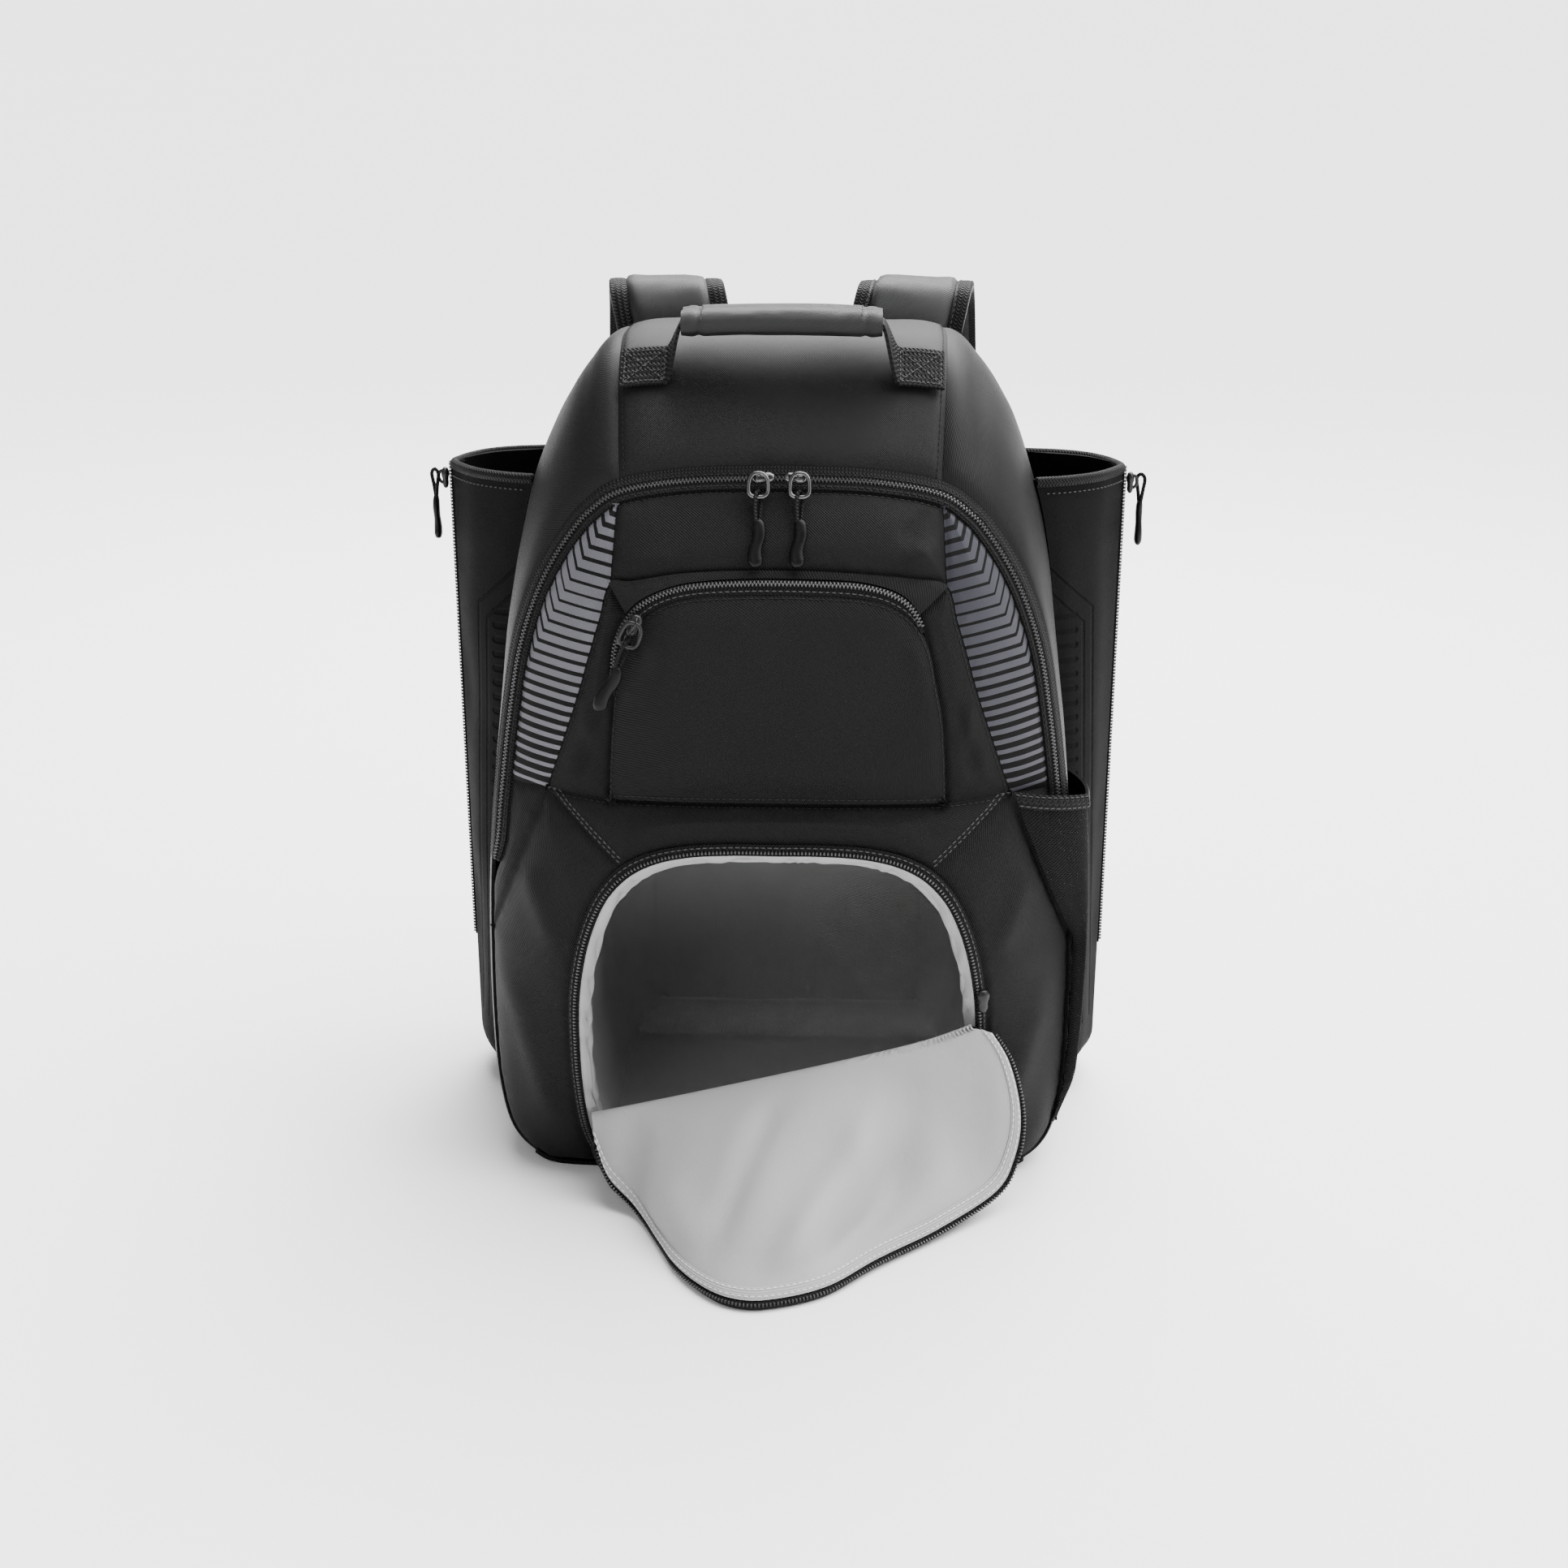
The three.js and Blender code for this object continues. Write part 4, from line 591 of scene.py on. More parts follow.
def tubeParts(path, radius, sides=8, closed=False, flatten=1.0, up=(0, 0, 1)):
    # an even-sided section carried along a path, squeezed by flatten across the up direction
    path = np.asarray(path, float)
    radius = np.array(np.broadcast_to(radius, len(path)), float)
    if not closed:
        # two nearly shut rings round off each end
        first, last = path[:1], path[-1:]
        startRun, endRun = unit(path[:1] - path[1:2]), unit(path[-1:] - path[-2:-1])
        tip = radius[0] * 0.35, radius[-1] * 0.35
        path = np.vstack([first + startRun * tip[0], first + startRun * tip[0] * 0.7, path,
                          last + endRun * tip[1] * 0.7, last + endRun * tip[1]])
        radius = np.concatenate([[radius[0] * 0.02, radius[0] * 0.7], radius,
                                 [radius[-1] * 0.7, radius[-1] * 0.02]])
    ahead = np.roll(path, -1, 0) - np.roll(path, 1, 0) if closed else np.gradient(path, axis=0)
    run = unit(ahead)
    out = unit(np.cross(run, np.broadcast_to(np.asarray(up, float), path.shape)))
    over = np.cross(out, run)
    angle = np.arange(sides) * 2 * np.pi / sides
    ring = out[:, None] * np.cos(angle)[None, :, None]
    ring = ring + over[:, None] * np.sin(angle)[None, :, None] * flatten
    verts = (path[:, None] + ring * radius[:, None, None]).reshape(-1, 3)
    count = len(path)
    spans = count if closed else count - 1
    j, i = (k.ravel() for k in np.meshgrid(np.arange(spans), np.arange(sides), indexing="ij"))
    k, n = (i + 1) % sides, (j + 1) % count
    faces = np.stack([j * sides + i, j * sides + k, n * sides + k, n * sides + i], -1)
    along = np.concatenate([lengths(path, 0), [lengths(path, 0)[-1] + 1]])
    around = 2 * np.pi * radius.max() / sides
    corners = [(i, j), (i + 1, j), (i + 1, j + 1), (i, j + 1)]
    places = np.stack([np.stack([a * around, along[b]], -1) for a, b in corners], 1).reshape(-1, 2)
    return verts, faces, places


def addTubes(name, tubes, finish, nodes=()):
    # several tubes as one piece
    verts, faces, places = joinParts(tubes)
    return addMesh(name, verts, faces, finish, nodes, {"cloth": places * 0.001})


def repeated(shapeVerts, shapeFaces, centres, run, normal):
    # copies of one small shape, its x along run, its z along normal
    side = np.cross(normal, run)
    axes = np.stack([run, side, normal], 1)
    verts = centres[:, None] + np.einsum("mk,nkd->nmd", shapeVerts, axes)
    offset = np.arange(len(centres))[:, None, None] * len(shapeVerts)
    return verts.reshape(-1, 3), (shapeFaces[None] + offset).reshape(-1, shapeFaces.shape[1])


def bead(length, width, height):
    # a block of three square sections, thickest in the middle: the shape of a stitch or a zip tooth
    x = np.array([-0.5, 0.0, 0.5]) * length
    swell = np.array([0.4, 1.0, 0.4])
    square = np.array([[-0.5, -0.5], [0.5, -0.5], [0.5, 0.5], [-0.5, 0.5]])
    verts = np.array([[at, a * width * share, b * height * share]
                      for at, share in zip(x, swell) for a, b in square])
    faces = [[k * 4 + i, k * 4 + (i + 1) % 4, k * 4 + 4 + (i + 1) % 4, k * 4 + 4 + i]
             for k in range(2) for i in range(4)]
    faces += [[3, 2, 1, 0], [8, 9, 10, 11]]
    return verts, np.array(faces)[:, ::-1]


def pathFrames(path, normal, pitch):
    # even places along a path, each with its direction and its normal
    at = lengths(path, 0)
    count = max(int(at[-1] / pitch), 1)
    want = (np.arange(count) + 0.5) * at[-1] / count
    pick = lambda values: np.stack([np.interp(want, at, values[:, k]) for k in range(3)], -1)
    spot = pick(path)
    ahead = pick(np.gradient(path, axis=0))
    up = unit(pick(np.broadcast_to(normal, path.shape)))
    run = unit(ahead - up * np.sum(ahead * up, axis=-1, keepdims=True))
    return spot, run, up


def gridLine(name, side, inset, start=0.0, end=1.0):
    # a line on a sheet that keeps inset from its left or right side, with the sheet's normals there
    reach = lengths(grids[name][0], 1)
    reach = reach if side == "left" else reach[:, -1:] - reach
    order = slice(None, None, 1 if side == "left" else -1)
    rows = np.arange(len(reach))[int(start * len(reach)):max(int(end * len(reach)), 2)]
    columns = np.arange(reach.shape[1])[order]
    return sampleGrid(name, rows, np.array([np.interp(inset, reach[r, order], columns) for r in rows]))


def sampleGrid(name, rows, cols):
    # points and normals of a sheet at fractional rows and columns
    p, normal = grids[name]
    rows, cols = np.broadcast_arrays(np.asarray(rows, float), np.asarray(cols, float))
    rows, cols = np.clip(rows, 0, len(p) - 1), np.clip(cols, 0, p.shape[1] - 1)
    i = np.minimum(rows.astype(int), len(p) - 2)
    j = np.minimum(cols.astype(int), p.shape[1] - 2)
    a, b = (rows - i)[..., None], (cols - j)[..., None]
    read = lambda g: mix(mix(g[i, j], g[i, j + 1], b), mix(g[i + 1, j], g[i + 1, j + 1], b), a)
    return read(p), unit(read(normal))


sewing = {"length": 2.5, "pitch": 3.5, "width": 0.72, "height": 0.6}
seams = {}


def sew(group, line, pitch=None, length=None, width=None):
    # one run of stitches, kept until its group is made into one piece
    path, normal = line
    spot, run, up = pathFrames(path, normal, pitch or sewing["pitch"])
    shape = bead(length or sewing["length"], width or sewing["width"], sewing["height"])
    seams.setdefault(group, []).append(repeated(*shape, spot + up * 0.12, run, up))


def joinParts(parts):
    # several meshes as one: verts, faces and any more arrays that run along with them
    counts = np.cumsum([0] + [len(part[0]) for part in parts])
    verts = np.vstack([part[0] for part in parts])
    faces = np.vstack([part[1] + count for part, count in zip(parts, counts)])
    return (verts, faces) + tuple(np.vstack(extra) for extra in zip(*(part[2:] for part in parts)))


zipTeeth = {"pitch": 2.0, "reach": 1.8, "thick": 1.05, "rise": 1.5}


def toothRow(line, side=0.0, shift=0.0):
    # one row of zip teeth across a line, moved sideways from its middle and along by part of a pitch
    path, normal = line
    spot, run, up = pathFrames(path, normal, zipTeeth["pitch"])
    across = np.cross(up, run)
    shape = bead(zipTeeth["reach"], zipTeeth["thick"], zipTeeth["rise"])
    middle = spot + across * side + up * zipTeeth["rise"] * 0.3 + run * zipTeeth["pitch"] * shift
    return repeated(*shape, middle, across, up)


def addTeeth(name, line, rows=((-0.6, 0.0), (0.6, 0.5))):
    addMesh(name, *joinParts([toothRow(line, *row) for row in rows]), "teeth")


def relief(d, puff, dip, reach=10.0, fold=2.4):
    # a sewn sheet sinks at its seams and fills out away from them
    return puff * (1 - np.exp(-(d / reach) ** 2)) - dip * np.exp(-(d / fold) ** 2)


# Gusset, base and back


def makeGusset():
    look = {"gusset_top": (-2, 2, 80, 60, (0, 0, 1)), "gusset_right": (2, 16, 150, 64, (1, 0, 0)),
            "gusset_left": (-16, -2, 150, 64, (-1, 0, 0))}
    slit = 0.004
    for name, (first, last, across, along, away) in look.items():
        rows = np.linspace(first + slit, last - slit, across)[None, :] * np.ones((along, 1))
        depth = np.linspace(0, 1, along)[:, None] * np.ones((1, across))
        p = gussetPoint(rows, depth)
        normal = outward(p, away)
        d = borderDistance(p)
        wave = softNoise(rows * 26, depth * 150, 42, 7) * 1.1
        wave = wave + softNoise(rows * 26, depth * 150, 17, 9) * 0.35
        lift = relief(d, 0.9, 1.3) + wave * (1 - np.exp(-(d / 20) ** 2))
        p = p + normal * (lift - 0.6)[..., None]
        p[..., 2] = np.maximum(p[..., 2], 0.2)
        addSheet(name, p, bag["gussetWall"], "satin", [name], away)
    rows = np.concatenate([-np.linspace(16.01, 19, 30), np.linspace(19, 16.01, 30)[1:]])
    depth = np.linspace(0, 1, 60)[:, None]
    base = gussetPoint(rows[None, :] * np.ones((60, 1)), depth * np.ones((1, len(rows))))
    addSheet("base_panel", base, 2.4, "tape", ["base_panel"], (0, 0, -1))


def makeBack():
    # air mesh with channels pressed into it, between a smooth border and its seam
    look = {"inset": 2.7, "groove": 3.2, "spacing": 62, "columnAt": 62, "wall": 8}
    rows = np.linspace(1, 17, 120)
    edge = ringPoint(backPoints, rows, look["inset"])
    share = np.linspace(-1, 1, 96)
    x = edge[:, :1] * share
    z = np.broadcast_to(edge[:, 2:], x.shape)
    p = np.stack([x, np.full_like(x, float(bag["backReach"])), z], -1)
    d = borderDistance(p)
    inside = smooth(d, 16, 26)
    channel = np.exp(-((np.mod(z + 20, look["spacing"]) - look["spacing"] / 2) / 3.5) ** 2)
    column = np.exp(-((np.abs(x) - look["columnAt"]) / 4) ** 2)
    p[..., 1] += relief(d, 0, 2.2, fold=4) - look["groove"] * inside * np.maximum(channel, column)
    piece = addSheet("back_panel", p, look["wall"], "backmesh", ["back_panel"], (0, 1, 0), level=True)


# Front


def straight(a, b, count=30):
    t = np.linspace(0, 1, count)[:, None]
    return np.asarray(a) * (1 - t) + np.asarray(b) * t


wallInset = bag["gussetWall"] + bag["gap"]
zipInset = wallInset + zips["width"] + bag["gap"] * 2


def panelInset(rows):
    share = smooth(np.abs(rows), zips["endRow"] - 0.5, zips["endRow"] + 0.5)
    return mix(zipInset, wallInset, share)


def panelEdge(rows):
    return ringPoint(seamPoints, rows, panelInset(rows))[..., [0, 2]]


def pocketPoint(x, z):
    return np.stack([x * pocket["halfWidth"], pocket["seamHeight"] + z * pocket["height"]], -1)


pocketEdge = pocketPoint(pocketTable["edgeX"], pocketTable["edgeZ"])
pocketSeam = pocketPoint(pocketTable["seamX"], pocketTable["seamZ"])
tapeOuter = pocketEdge + unit(pocketSeam - pocketEdge) * (pocketTable["tape"] * zips["width"])[:, None]


def rowsOf(points, first, last, count=120):
    return rowCurve(points, np.linspace(first, last, count))


def mirrored(line):
    return line * np.array([-1.0, 1.0])


def mouthHalf(inset, first=0, last=13, count=120):
    # the mouth's half line, drawn in towards its middle, down the right side
    wide = (opening["halfWidth"] - inset) * mouth["across"]
    tall = (opening["height"] - inset) * mouth["up"]
    return rowsOf(np.stack([wide, tall], -1), first, last, count)


def mouthLoop(inset, count=160):
    line = mouthHalf(inset, count=count)
    return np.vstack([mirrored(line)[::-1], line[1:]])


stripTop = pocketSeam[-1]
stripEnd = panelEdge(np.array(zips["stripEndRow"]))


def frontSheet(name, lineA, lineB, across, along, finish="twill", lift=0.0, puff=1.6, dip=1.3, folds=(),
               sides="left right start end", wall=bag["clothWall"], maps=None):
    # rulings between two seam lines, laid on the pillow, sunk at the seams and creased by the folds
    x, z = between(resample(lineA, along), resample(lineB, along), across)
    p = onFront(x, z)
    d = borderDistance(p, sides)
    out = relief(d, puff, dip) + lift
    inner = 1 - np.exp(-(d / 12) ** 2)
    for fold in folds:
        out = out + crease(x, z, *fold) * inner * 2.5
    out = out + softNoise(x, z, 34, 3) * 1.2 * inner + softNoise(x, z, 13, 6) * 0.22 * inner
    out = out + softNoise(x, z, 4.5, 12) * 0.28 * np.exp(-((d - 3) / 4) ** 2)
    normal = gridNormals(p)
    normal = normal * np.where(normal[..., 1:2] > 0, -1, 1)
    p = p + normal * (out - 0.5)[..., None]
    return addSheet(name, p, wall, finish, [name], maps=maps(x, z) if maps else None)


def chevronMap(x, z):
    # each stripe rises gently from the inner seam to a knee near the zip and climbs steeply beyond it
    look = {"pitch": 5.7, "slope": 0.14, "climb": 3.3,
            "levels": [232, 250, 300, 345, 352, 380], "black": [0.66, 0.6, 0.4, 0.2, 0.28, 0.44]}
    kneeZ = [200, 240, 265, 298, 315, 349, 376, 410]
    kneeX = [151, 149, 146, 139, 131, 112, 95, 73]
    level = np.linspace(200, 410, 211)
    knee = np.interp(level, kneeZ, kneeX)
    away = np.abs(x)
    inner = np.interp(z - look["slope"] * away, level - look["slope"] * knee, level)
    outer = np.interp(z - look["climb"] * away, level - look["climb"] * knee, level)
    phase = np.minimum(inner, outer)
    share = np.interp(phase, look["levels"], look["black"])
    return {"stripes": np.stack([phase / look["pitch"], share], -1)}


def makeFront():
    left, right = pocket["leftCorner"], pocket["rightCorner"]
    hoodSeam = rowsOf(pocketSeam, left, right)
    topEdge = panelEdge(np.linspace(-zips["chevronTopRow"], zips["chevronTopRow"], 120))
    frontSheet("front_top_panel", hoodSeam, topEdge, 46, 130, puff=2.2, folds=[
        (((60, 352), (88, 372)), 1.5, 6), (((-80, 356), (-55, 362)), 1.2, 5),
        (((66, 372), (84, 392)), -0.9, 5), (((-30, 354), (20, 353)), 0.8, 4)])
    frontSheet("pocket_hood", rowsOf(tapeOuter, left, right), hoodSeam, 14, 130,
               lift=1.6, puff=0.6, dip=0.8, sides="right")
    for side, first, last in (("left", 0, left), ("right", right, 17)):
        sign = -1 if side == "left" else 1
        frontSheet(f"pocket_side_{side}", rowsOf(tapeOuter, first, last), rowsOf(pocketSeam, first, last),
                   34, 80, puff=1.8, folds=[
                       (((sign * 100, 262), (sign * 112, 300)), 1.4, 6),
                       (((sign * 108, 244), (sign * 96, 286)), -1.1, 5),
                       (((sign * 118, 250), (sign * 104, 318)), 0.8, 5)])
    lower = pocketPoint(np.linspace(-1, 1, 120), np.zeros(120))
    frontSheet("pocket_panel", lower, rowsOf(pocketEdge, 0, 17), 90, 130, lift=pocket["lift"], puff=2.0,
               dip=1.0, wall=4, folds=[(((-70, 318), (-84, 290)), 1.3, 7), (((74, 322), (86, 296)), 1.2, 7),
                                       (((-60, 250), (60, 246)), 1.0, 14)])
    seam = rowsOf(pocketSeam, right, 17)
    chevronTop = panelEdge(np.array(zips["chevronTopRow"]))
    inner = np.vstack([straight(chevronTop, seam[0])[:-1], seam])
    outer = panelEdge(np.linspace(zips["chevronTopRow"], zips["chevronEndRow"], 120))
    for name, flip in (("chevron_panel_right", False), ("chevron_panel_left", True)):
        lines = [mirrored(line) for line in (inner, outer)] if flip else [inner, outer]
        frontSheet(name, *lines, 50, 120, finish="chevron", puff=1.0, dip=0.9, maps=chevronMap)
    stripSeam = straight(stripTop, stripEnd)
    stripOuter = panelEdge(np.linspace(zips["chevronEndRow"], zips["stripEndRow"], 60))
    frontSheet("side_strip_right", stripSeam, stripOuter, 16, 50, puff=0.8)
    frontSheet("side_strip_left", mirrored(stripSeam), mirrored(stripOuter), 16, 50, puff=0.8)
    arch = np.vstack([mouthHalf(0, 0, 4)[:-1], straight(mouthHalf(0, 4, 13)[0], stripTop)])
    foot = np.vstack([mirrored(arch)[::-1], arch[1:]])
    corners = [mirrored(stripTop), pocketPoint(-1.0, 0.0), pocketPoint(1.0, 0.0), stripTop]
    top = np.vstack([straight(a, b)[:-1] for a, b in zip(corners, corners[1:])] + [stripTop])
    frontSheet("lower_band", foot, top, 30, 170, puff=1.6, folds=[
        (((-70, 222), (40, 224)), 0.8, 5), (((60, 224), (100, 228)), 0.9, 5)])
    cheek = mouthHalf(0, 4, 13)
    rim = np.vstack([straight(stripTop, stripEnd)[:-1],
                     panelEdge(np.linspace(zips["stripEndRow"], bag["cornerRow"] + 0.6, 120))])
    for name, flip in (("lower_panel_right", False), ("lower_panel_left", True)):
        lines = [mirrored(line) for line in (cheek, rim)] if flip else [cheek, rim]
        sign = -1 if flip else 1
        frontSheet(name, *lines, 44, 150, puff=1.9, folds=[
            (((sign * 128, 40), (sign * 150, 120)), 0.9, 9),
            (((sign * 122, 150), (sign * 140, 190)), 0.8, 8)])


def makeMainZip():
    rows = np.linspace(-zips["endRow"], zips["endRow"], 420)
    share = np.linspace(0, 1, 13)
    under = 2.0
    inset = mix(wallInset - under, panelInset(rows)[:, None] + under, share)
    flat = ringPoint(seamPoints, rows[:, None] * np.ones(13), inset)
    p = onFront(flat[..., 0], flat[..., 2])
    channel = np.exp(-((share - 0.5) / 0.16) ** 2)
    buried = 1 - smooth(np.minimum(share, 1 - share), 0.04, 0.2)
    p[..., 1] += 0.5 * channel + 2.2 * buried - 0.2
    addSheet("main_zip", p, zips["wall"], "tape", ["main_zip"])
    addTeeth("main_zip_teeth", sampleGrid("main_zip", np.arange(len(p)), 6.0))
    for column in (3.4, 8.6):
        sew("blackThread", sampleGrid("main_zip", np.arange(len(p)), column))


def makePocketZip():
    first, last = zips["pocketStart"], pocket["rightCorner"] + 1
    a, b = rowsOf(pocketEdge, first, last, 220), rowsOf(tapeOuter, first, last, 220)
    keep = np.linalg.norm(a - b, axis=1) > 1.5
    p = onFront(*between(a[keep], b[keep], 9)) - np.array([0, 2.0, 0])
    addSheet("pocket_zip", p, zips["wall"], "tape", ["pocket_zip"])
    addTeeth("pocket_zip_teeth", sampleGrid("pocket_zip", np.arange(len(p))[4:-4], 6.0))
    sew("thread", sampleGrid("pocket_zip", np.arange(len(p))[4:-4], 2.0))


makeGusset()
makeBack()
makeFront()
makeMainZip()
makePocketZip()
print("body made")

# Shoe compartment


def makeOpening():
    p = onFront(*between(mouthLoop(bag["gap"]), mouthLoop(opening["tape"]), 9))
    p[..., 1] += 0.9 * np.exp(-(np.linspace(0, 1, 9) / 0.2) ** 2) - 0.5
    addSheet("opening_zip", p, zips["wall"], "tape", ["opening_zip"])
    addTeeth("opening_teeth", sampleGrid("opening_zip", np.arange(len(p)), 5.6), [(0.0, 0.0)])
    sew("thread", sampleGrid("opening_zip", np.arange(len(p)), 2.2))


def makeLining():
    # rings of the lining: depth into the bag and how far they are drawn in from the mouth; the back wall's
    # rings shrink on their middle
    look = {"backWall": 30, "last": 110, "point": 0.0004, "lip": 0.2}
    rings = readColumns("deep inset", [
        [0.00, 4.6], [0.008, 8.0], [0.03, 11.5], [0.07, 10.5], [0.16, 6.0], [0.34, 3.0], [0.55, 3.0],
        [0.75, 3.0], [0.88, 5.5], [0.94, 10.0], [0.985, 18.0], [1.0, 30.0], [1.0, 50.0], [1.0, 75.0],
        [1.0, 95.0], [1.0, 110.0]])
    ringAt = rowCurve(np.stack([rings["deep"], rings["inset"]], -1), np.linspace(0, 15, 90))
    loops = []
    for inset in ringAt[:, 1]:
        line = resample(mouthLoop(min(inset, look["backWall"]), 90), 120)
        loop = np.vstack([line, straight(line[-1], line[0], 34)[1:-1]])
        middle = loop.mean(axis=0)
        shrink = np.clip((look["last"] - inset) / (look["last"] - look["backWall"]), look["point"], 1)
        loops.append(middle + (loop - middle) * shrink)
    x, z = np.moveaxis(np.array(loops), -1, 0)
    deep, inset = ringAt[:, :1], ringAt[:, 1:]
    low = bag["gussetWall"] + bag["gap"] + np.clip(inset - opening["tape"], 0, look["backWall"])
    z = np.where(inset > look["backWall"], z, np.maximum(z, low))
    start = frontDepth(x, z) + zips["wall"] + bag["gap"] * 2
    end = bag["backReach"] - opening["backPad"] - opening["clear"]
    p = np.stack([x, mix(start, end, np.clip(deep, 0, 1)), z], -1)
    normal = gridNormals(p, True)
    centre = p.mean(axis=(0, 1))
    normal = normal * np.where(np.sum(normal * (centre - p), -1, keepdims=True) < 0, -1, 1)
    angle = np.linspace(0, 2 * np.pi, p.shape[1], endpoint=False)[None, :]
    ripple = np.sin(angle * 29 + softNoise(angle * 14, deep * 20, 3, 4) * 4)
    pucker = ripple * np.exp(-((inset - 9) / 4) ** 2) * (deep < look["lip"])
    wave = softNoise(angle * 40, deep * 150, 15, 11) * 1.8
    wave = wave * smooth(deep, 0.02, look["lip"]) * (1 - smooth(inset, 12, 40))
    p = p + normal * (pucker * 0.9 + wave)[..., None]
    p[..., 1] += (1 + ripple) * 1.3 * np.exp(-((inset - 10) / 2) ** 2) * (deep < look["lip"])
    p[..., 2] = np.maximum(p[..., 2], bag["gussetWall"] + 1.3)
    addSheet("shoe_lining", p, 1.0, "liner", ["shoe_lining"], (0, 0, 0), wrap=True)


makeOpening()
makeLining()

door = {
    "foldRadius": 8, "foldLow": 46, "foldHigh": 110, "reach": 112, "stand": 2 / 12, "fold": 5 / 12,
    "drop": 1.3, "belly": 0.9, "wall": 3, "shell": 2.2, "liner": 1.5, "hem": 4.5, "binding": 6.5,
}
doorTable = readColumns("across ahead up", [
    [-0.880, 0.030, 0.330], [-0.800, 0.120, 0.150], [-0.650, 0.220, 0.040], [-0.515, 0.510, 0.016],
    [-0.425, 0.720, 0.016], [-0.300, 0.890, 0.016], [-0.165, 0.990, 0.016], [0.000, 1.000, 0.016],
    [0.255, 0.885, 0.016], [0.495, 0.630, 0.018], [0.785, 0.360, 0.035], [1.070, 0.100, 0.110],
    [1.165, 0.000, 0.260], [1.190, -0.050, 0.480], [1.130, -0.090, 0.760], [1.020, -0.080, 0.960]])


def doorPoint(share, along):
    # the door stands closed up to its fold, turns over it and hangs down to its rim
    rim = np.stack([doorTable["across"] * opening["halfWidth"],
                    -doorTable["ahead"] * door["reach"] - bag["crownReach"],
                    np.maximum(doorTable["up"] * door["foldHigh"], door["wall"])], -1)
    line = mouthHalf(opening["tape"] + door["liner"] + bag["gap"], count=200)[::-1]
    crest = mix(door["foldLow"], door["foldHigh"], share)
    standTop = crest - door["foldRadius"]
    low = bag["gussetWall"] + bag["gap"] * 2
    z = mix(low, standTop, np.clip(along / door["stand"], 0, 1))
    edge = np.interp(z, line[:, 1], line[:, 0])
    x = mix(-edge, edge, share)
    stand = onFront(x, z)
    turn = np.clip((along - door["stand"]) / (door["fold"] - door["stand"]), 0, 1) * np.pi / 2
    over = stand + np.stack([x * 0, -door["foldRadius"] * (1 - np.cos(turn)),
                             door["foldRadius"] * np.sin(turn)], -1)
    end = rowCurve(rim, share * (len(rim) - 1))
    fall = np.clip((along - door["fold"]) / (1 - door["fold"]), 0, 1)
    hang = mix(over, end, fall[..., None])
    hang[..., 2] = mix(end[..., 2], crest, (1 - fall) ** door["drop"] * (1 + door["belly"] * fall))
    return np.where((along > door["fold"])[..., None], hang, over)


def makeDoor():
    across, along = 110, 110
    share = np.linspace(0.01, 0.99, across)[None, :] * np.ones((along, 1))
    run = np.linspace(0, 1, along)[:, None] * np.ones((1, across))
    p = doorPoint(share, run)
    relax(p, 4, 0.6)
    normal = outward(p, (0, 0, 1))
    hang = smooth(run, door["fold"], 0.6)
    x, y = p[..., 0], p[..., 1]
    wave = softNoise(x, y, 24, 5) * 1.7
    for fold in ((((78, -148), (30, -228)), -9.0, 8), (((56, -148), (4, -228)), 7.0, 8),
                 (((-75, -150), (-40, -205)), 4.2, 8), (((98, -150), (62, -200)), 4.5, 7),
                 (((5, -140), (-30, -215)), -4.0, 9)):
        wave = wave + crease(x, y, *fold)
    edge = borderDistance(p, "left right end")
    p = p + normal * (wave * hang * smooth(edge, 4, 26))[..., None]
    p[..., 2] = np.maximum(p[..., 2], door["wall"])
    addSheet("flap_shell", p, door["shell"], "twill", ["flap_shell"], (0, 0, 1))
    grids["door"] = (p, normal)
    dressDoor()


def onDoor(far, lift):
    # points of the door at distances from its foot, raised by lift; far has one column for each of the door's
    reach = lengths(grids["door"][0], 0)
    columns = np.arange(reach.shape[1])
    rows = np.stack([np.interp(far[:, c], reach[:, c], np.arange(len(reach))) for c in columns], -1)
    p, normal = sampleGrid("door", rows, np.broadcast_to(columns, rows.shape))
    return p + normal * np.reshape(lift, (-1, 1, 1))


def dressDoor():
    # from the rim inwards: zip tape with its teeth outermost, ribbed binding, then the satin lining
    rim = lengths(grids["door"][0], 0)[-1]
    up = grids["door"][1].mean(axis=(0, 1))
    lining = onDoor(np.linspace(0, 1, 100)[:, None] * (rim - door["hem"]), 1.3)
    piece = addSheet("flap_lining", lining, 0.9, "liner", ["flap_lining"], up)
    dome = np.sin(np.linspace(0, np.pi, 9))
    inset = np.linspace(door["hem"] + door["binding"], door["hem"] - 1.2, 9)
    binding = onDoor(rim - inset[:, None], 1.7 + 0.7 * dome)
    addSheet("flap_binding", binding, 0.8, "grosgrain", (), up)
    inset = np.linspace(door["hem"] + 0.5, -0.4, 7)
    tape = onDoor(rim - inset[:, None], np.linspace(1.2, 0.5, 7))
    addSheet("flap_tape", tape, 1.0, "tape", (), up)
    addTeeth("flap_teeth", sampleGrid("flap_tape", 5.0, np.arange(tape.shape[1])), [(0.0, 0.0)])
    for row in (1.6, 6.0):
        sew("paleThread", sampleGrid("flap_binding", row, np.arange(tape.shape[1])))


makeDoor()
print("door made")

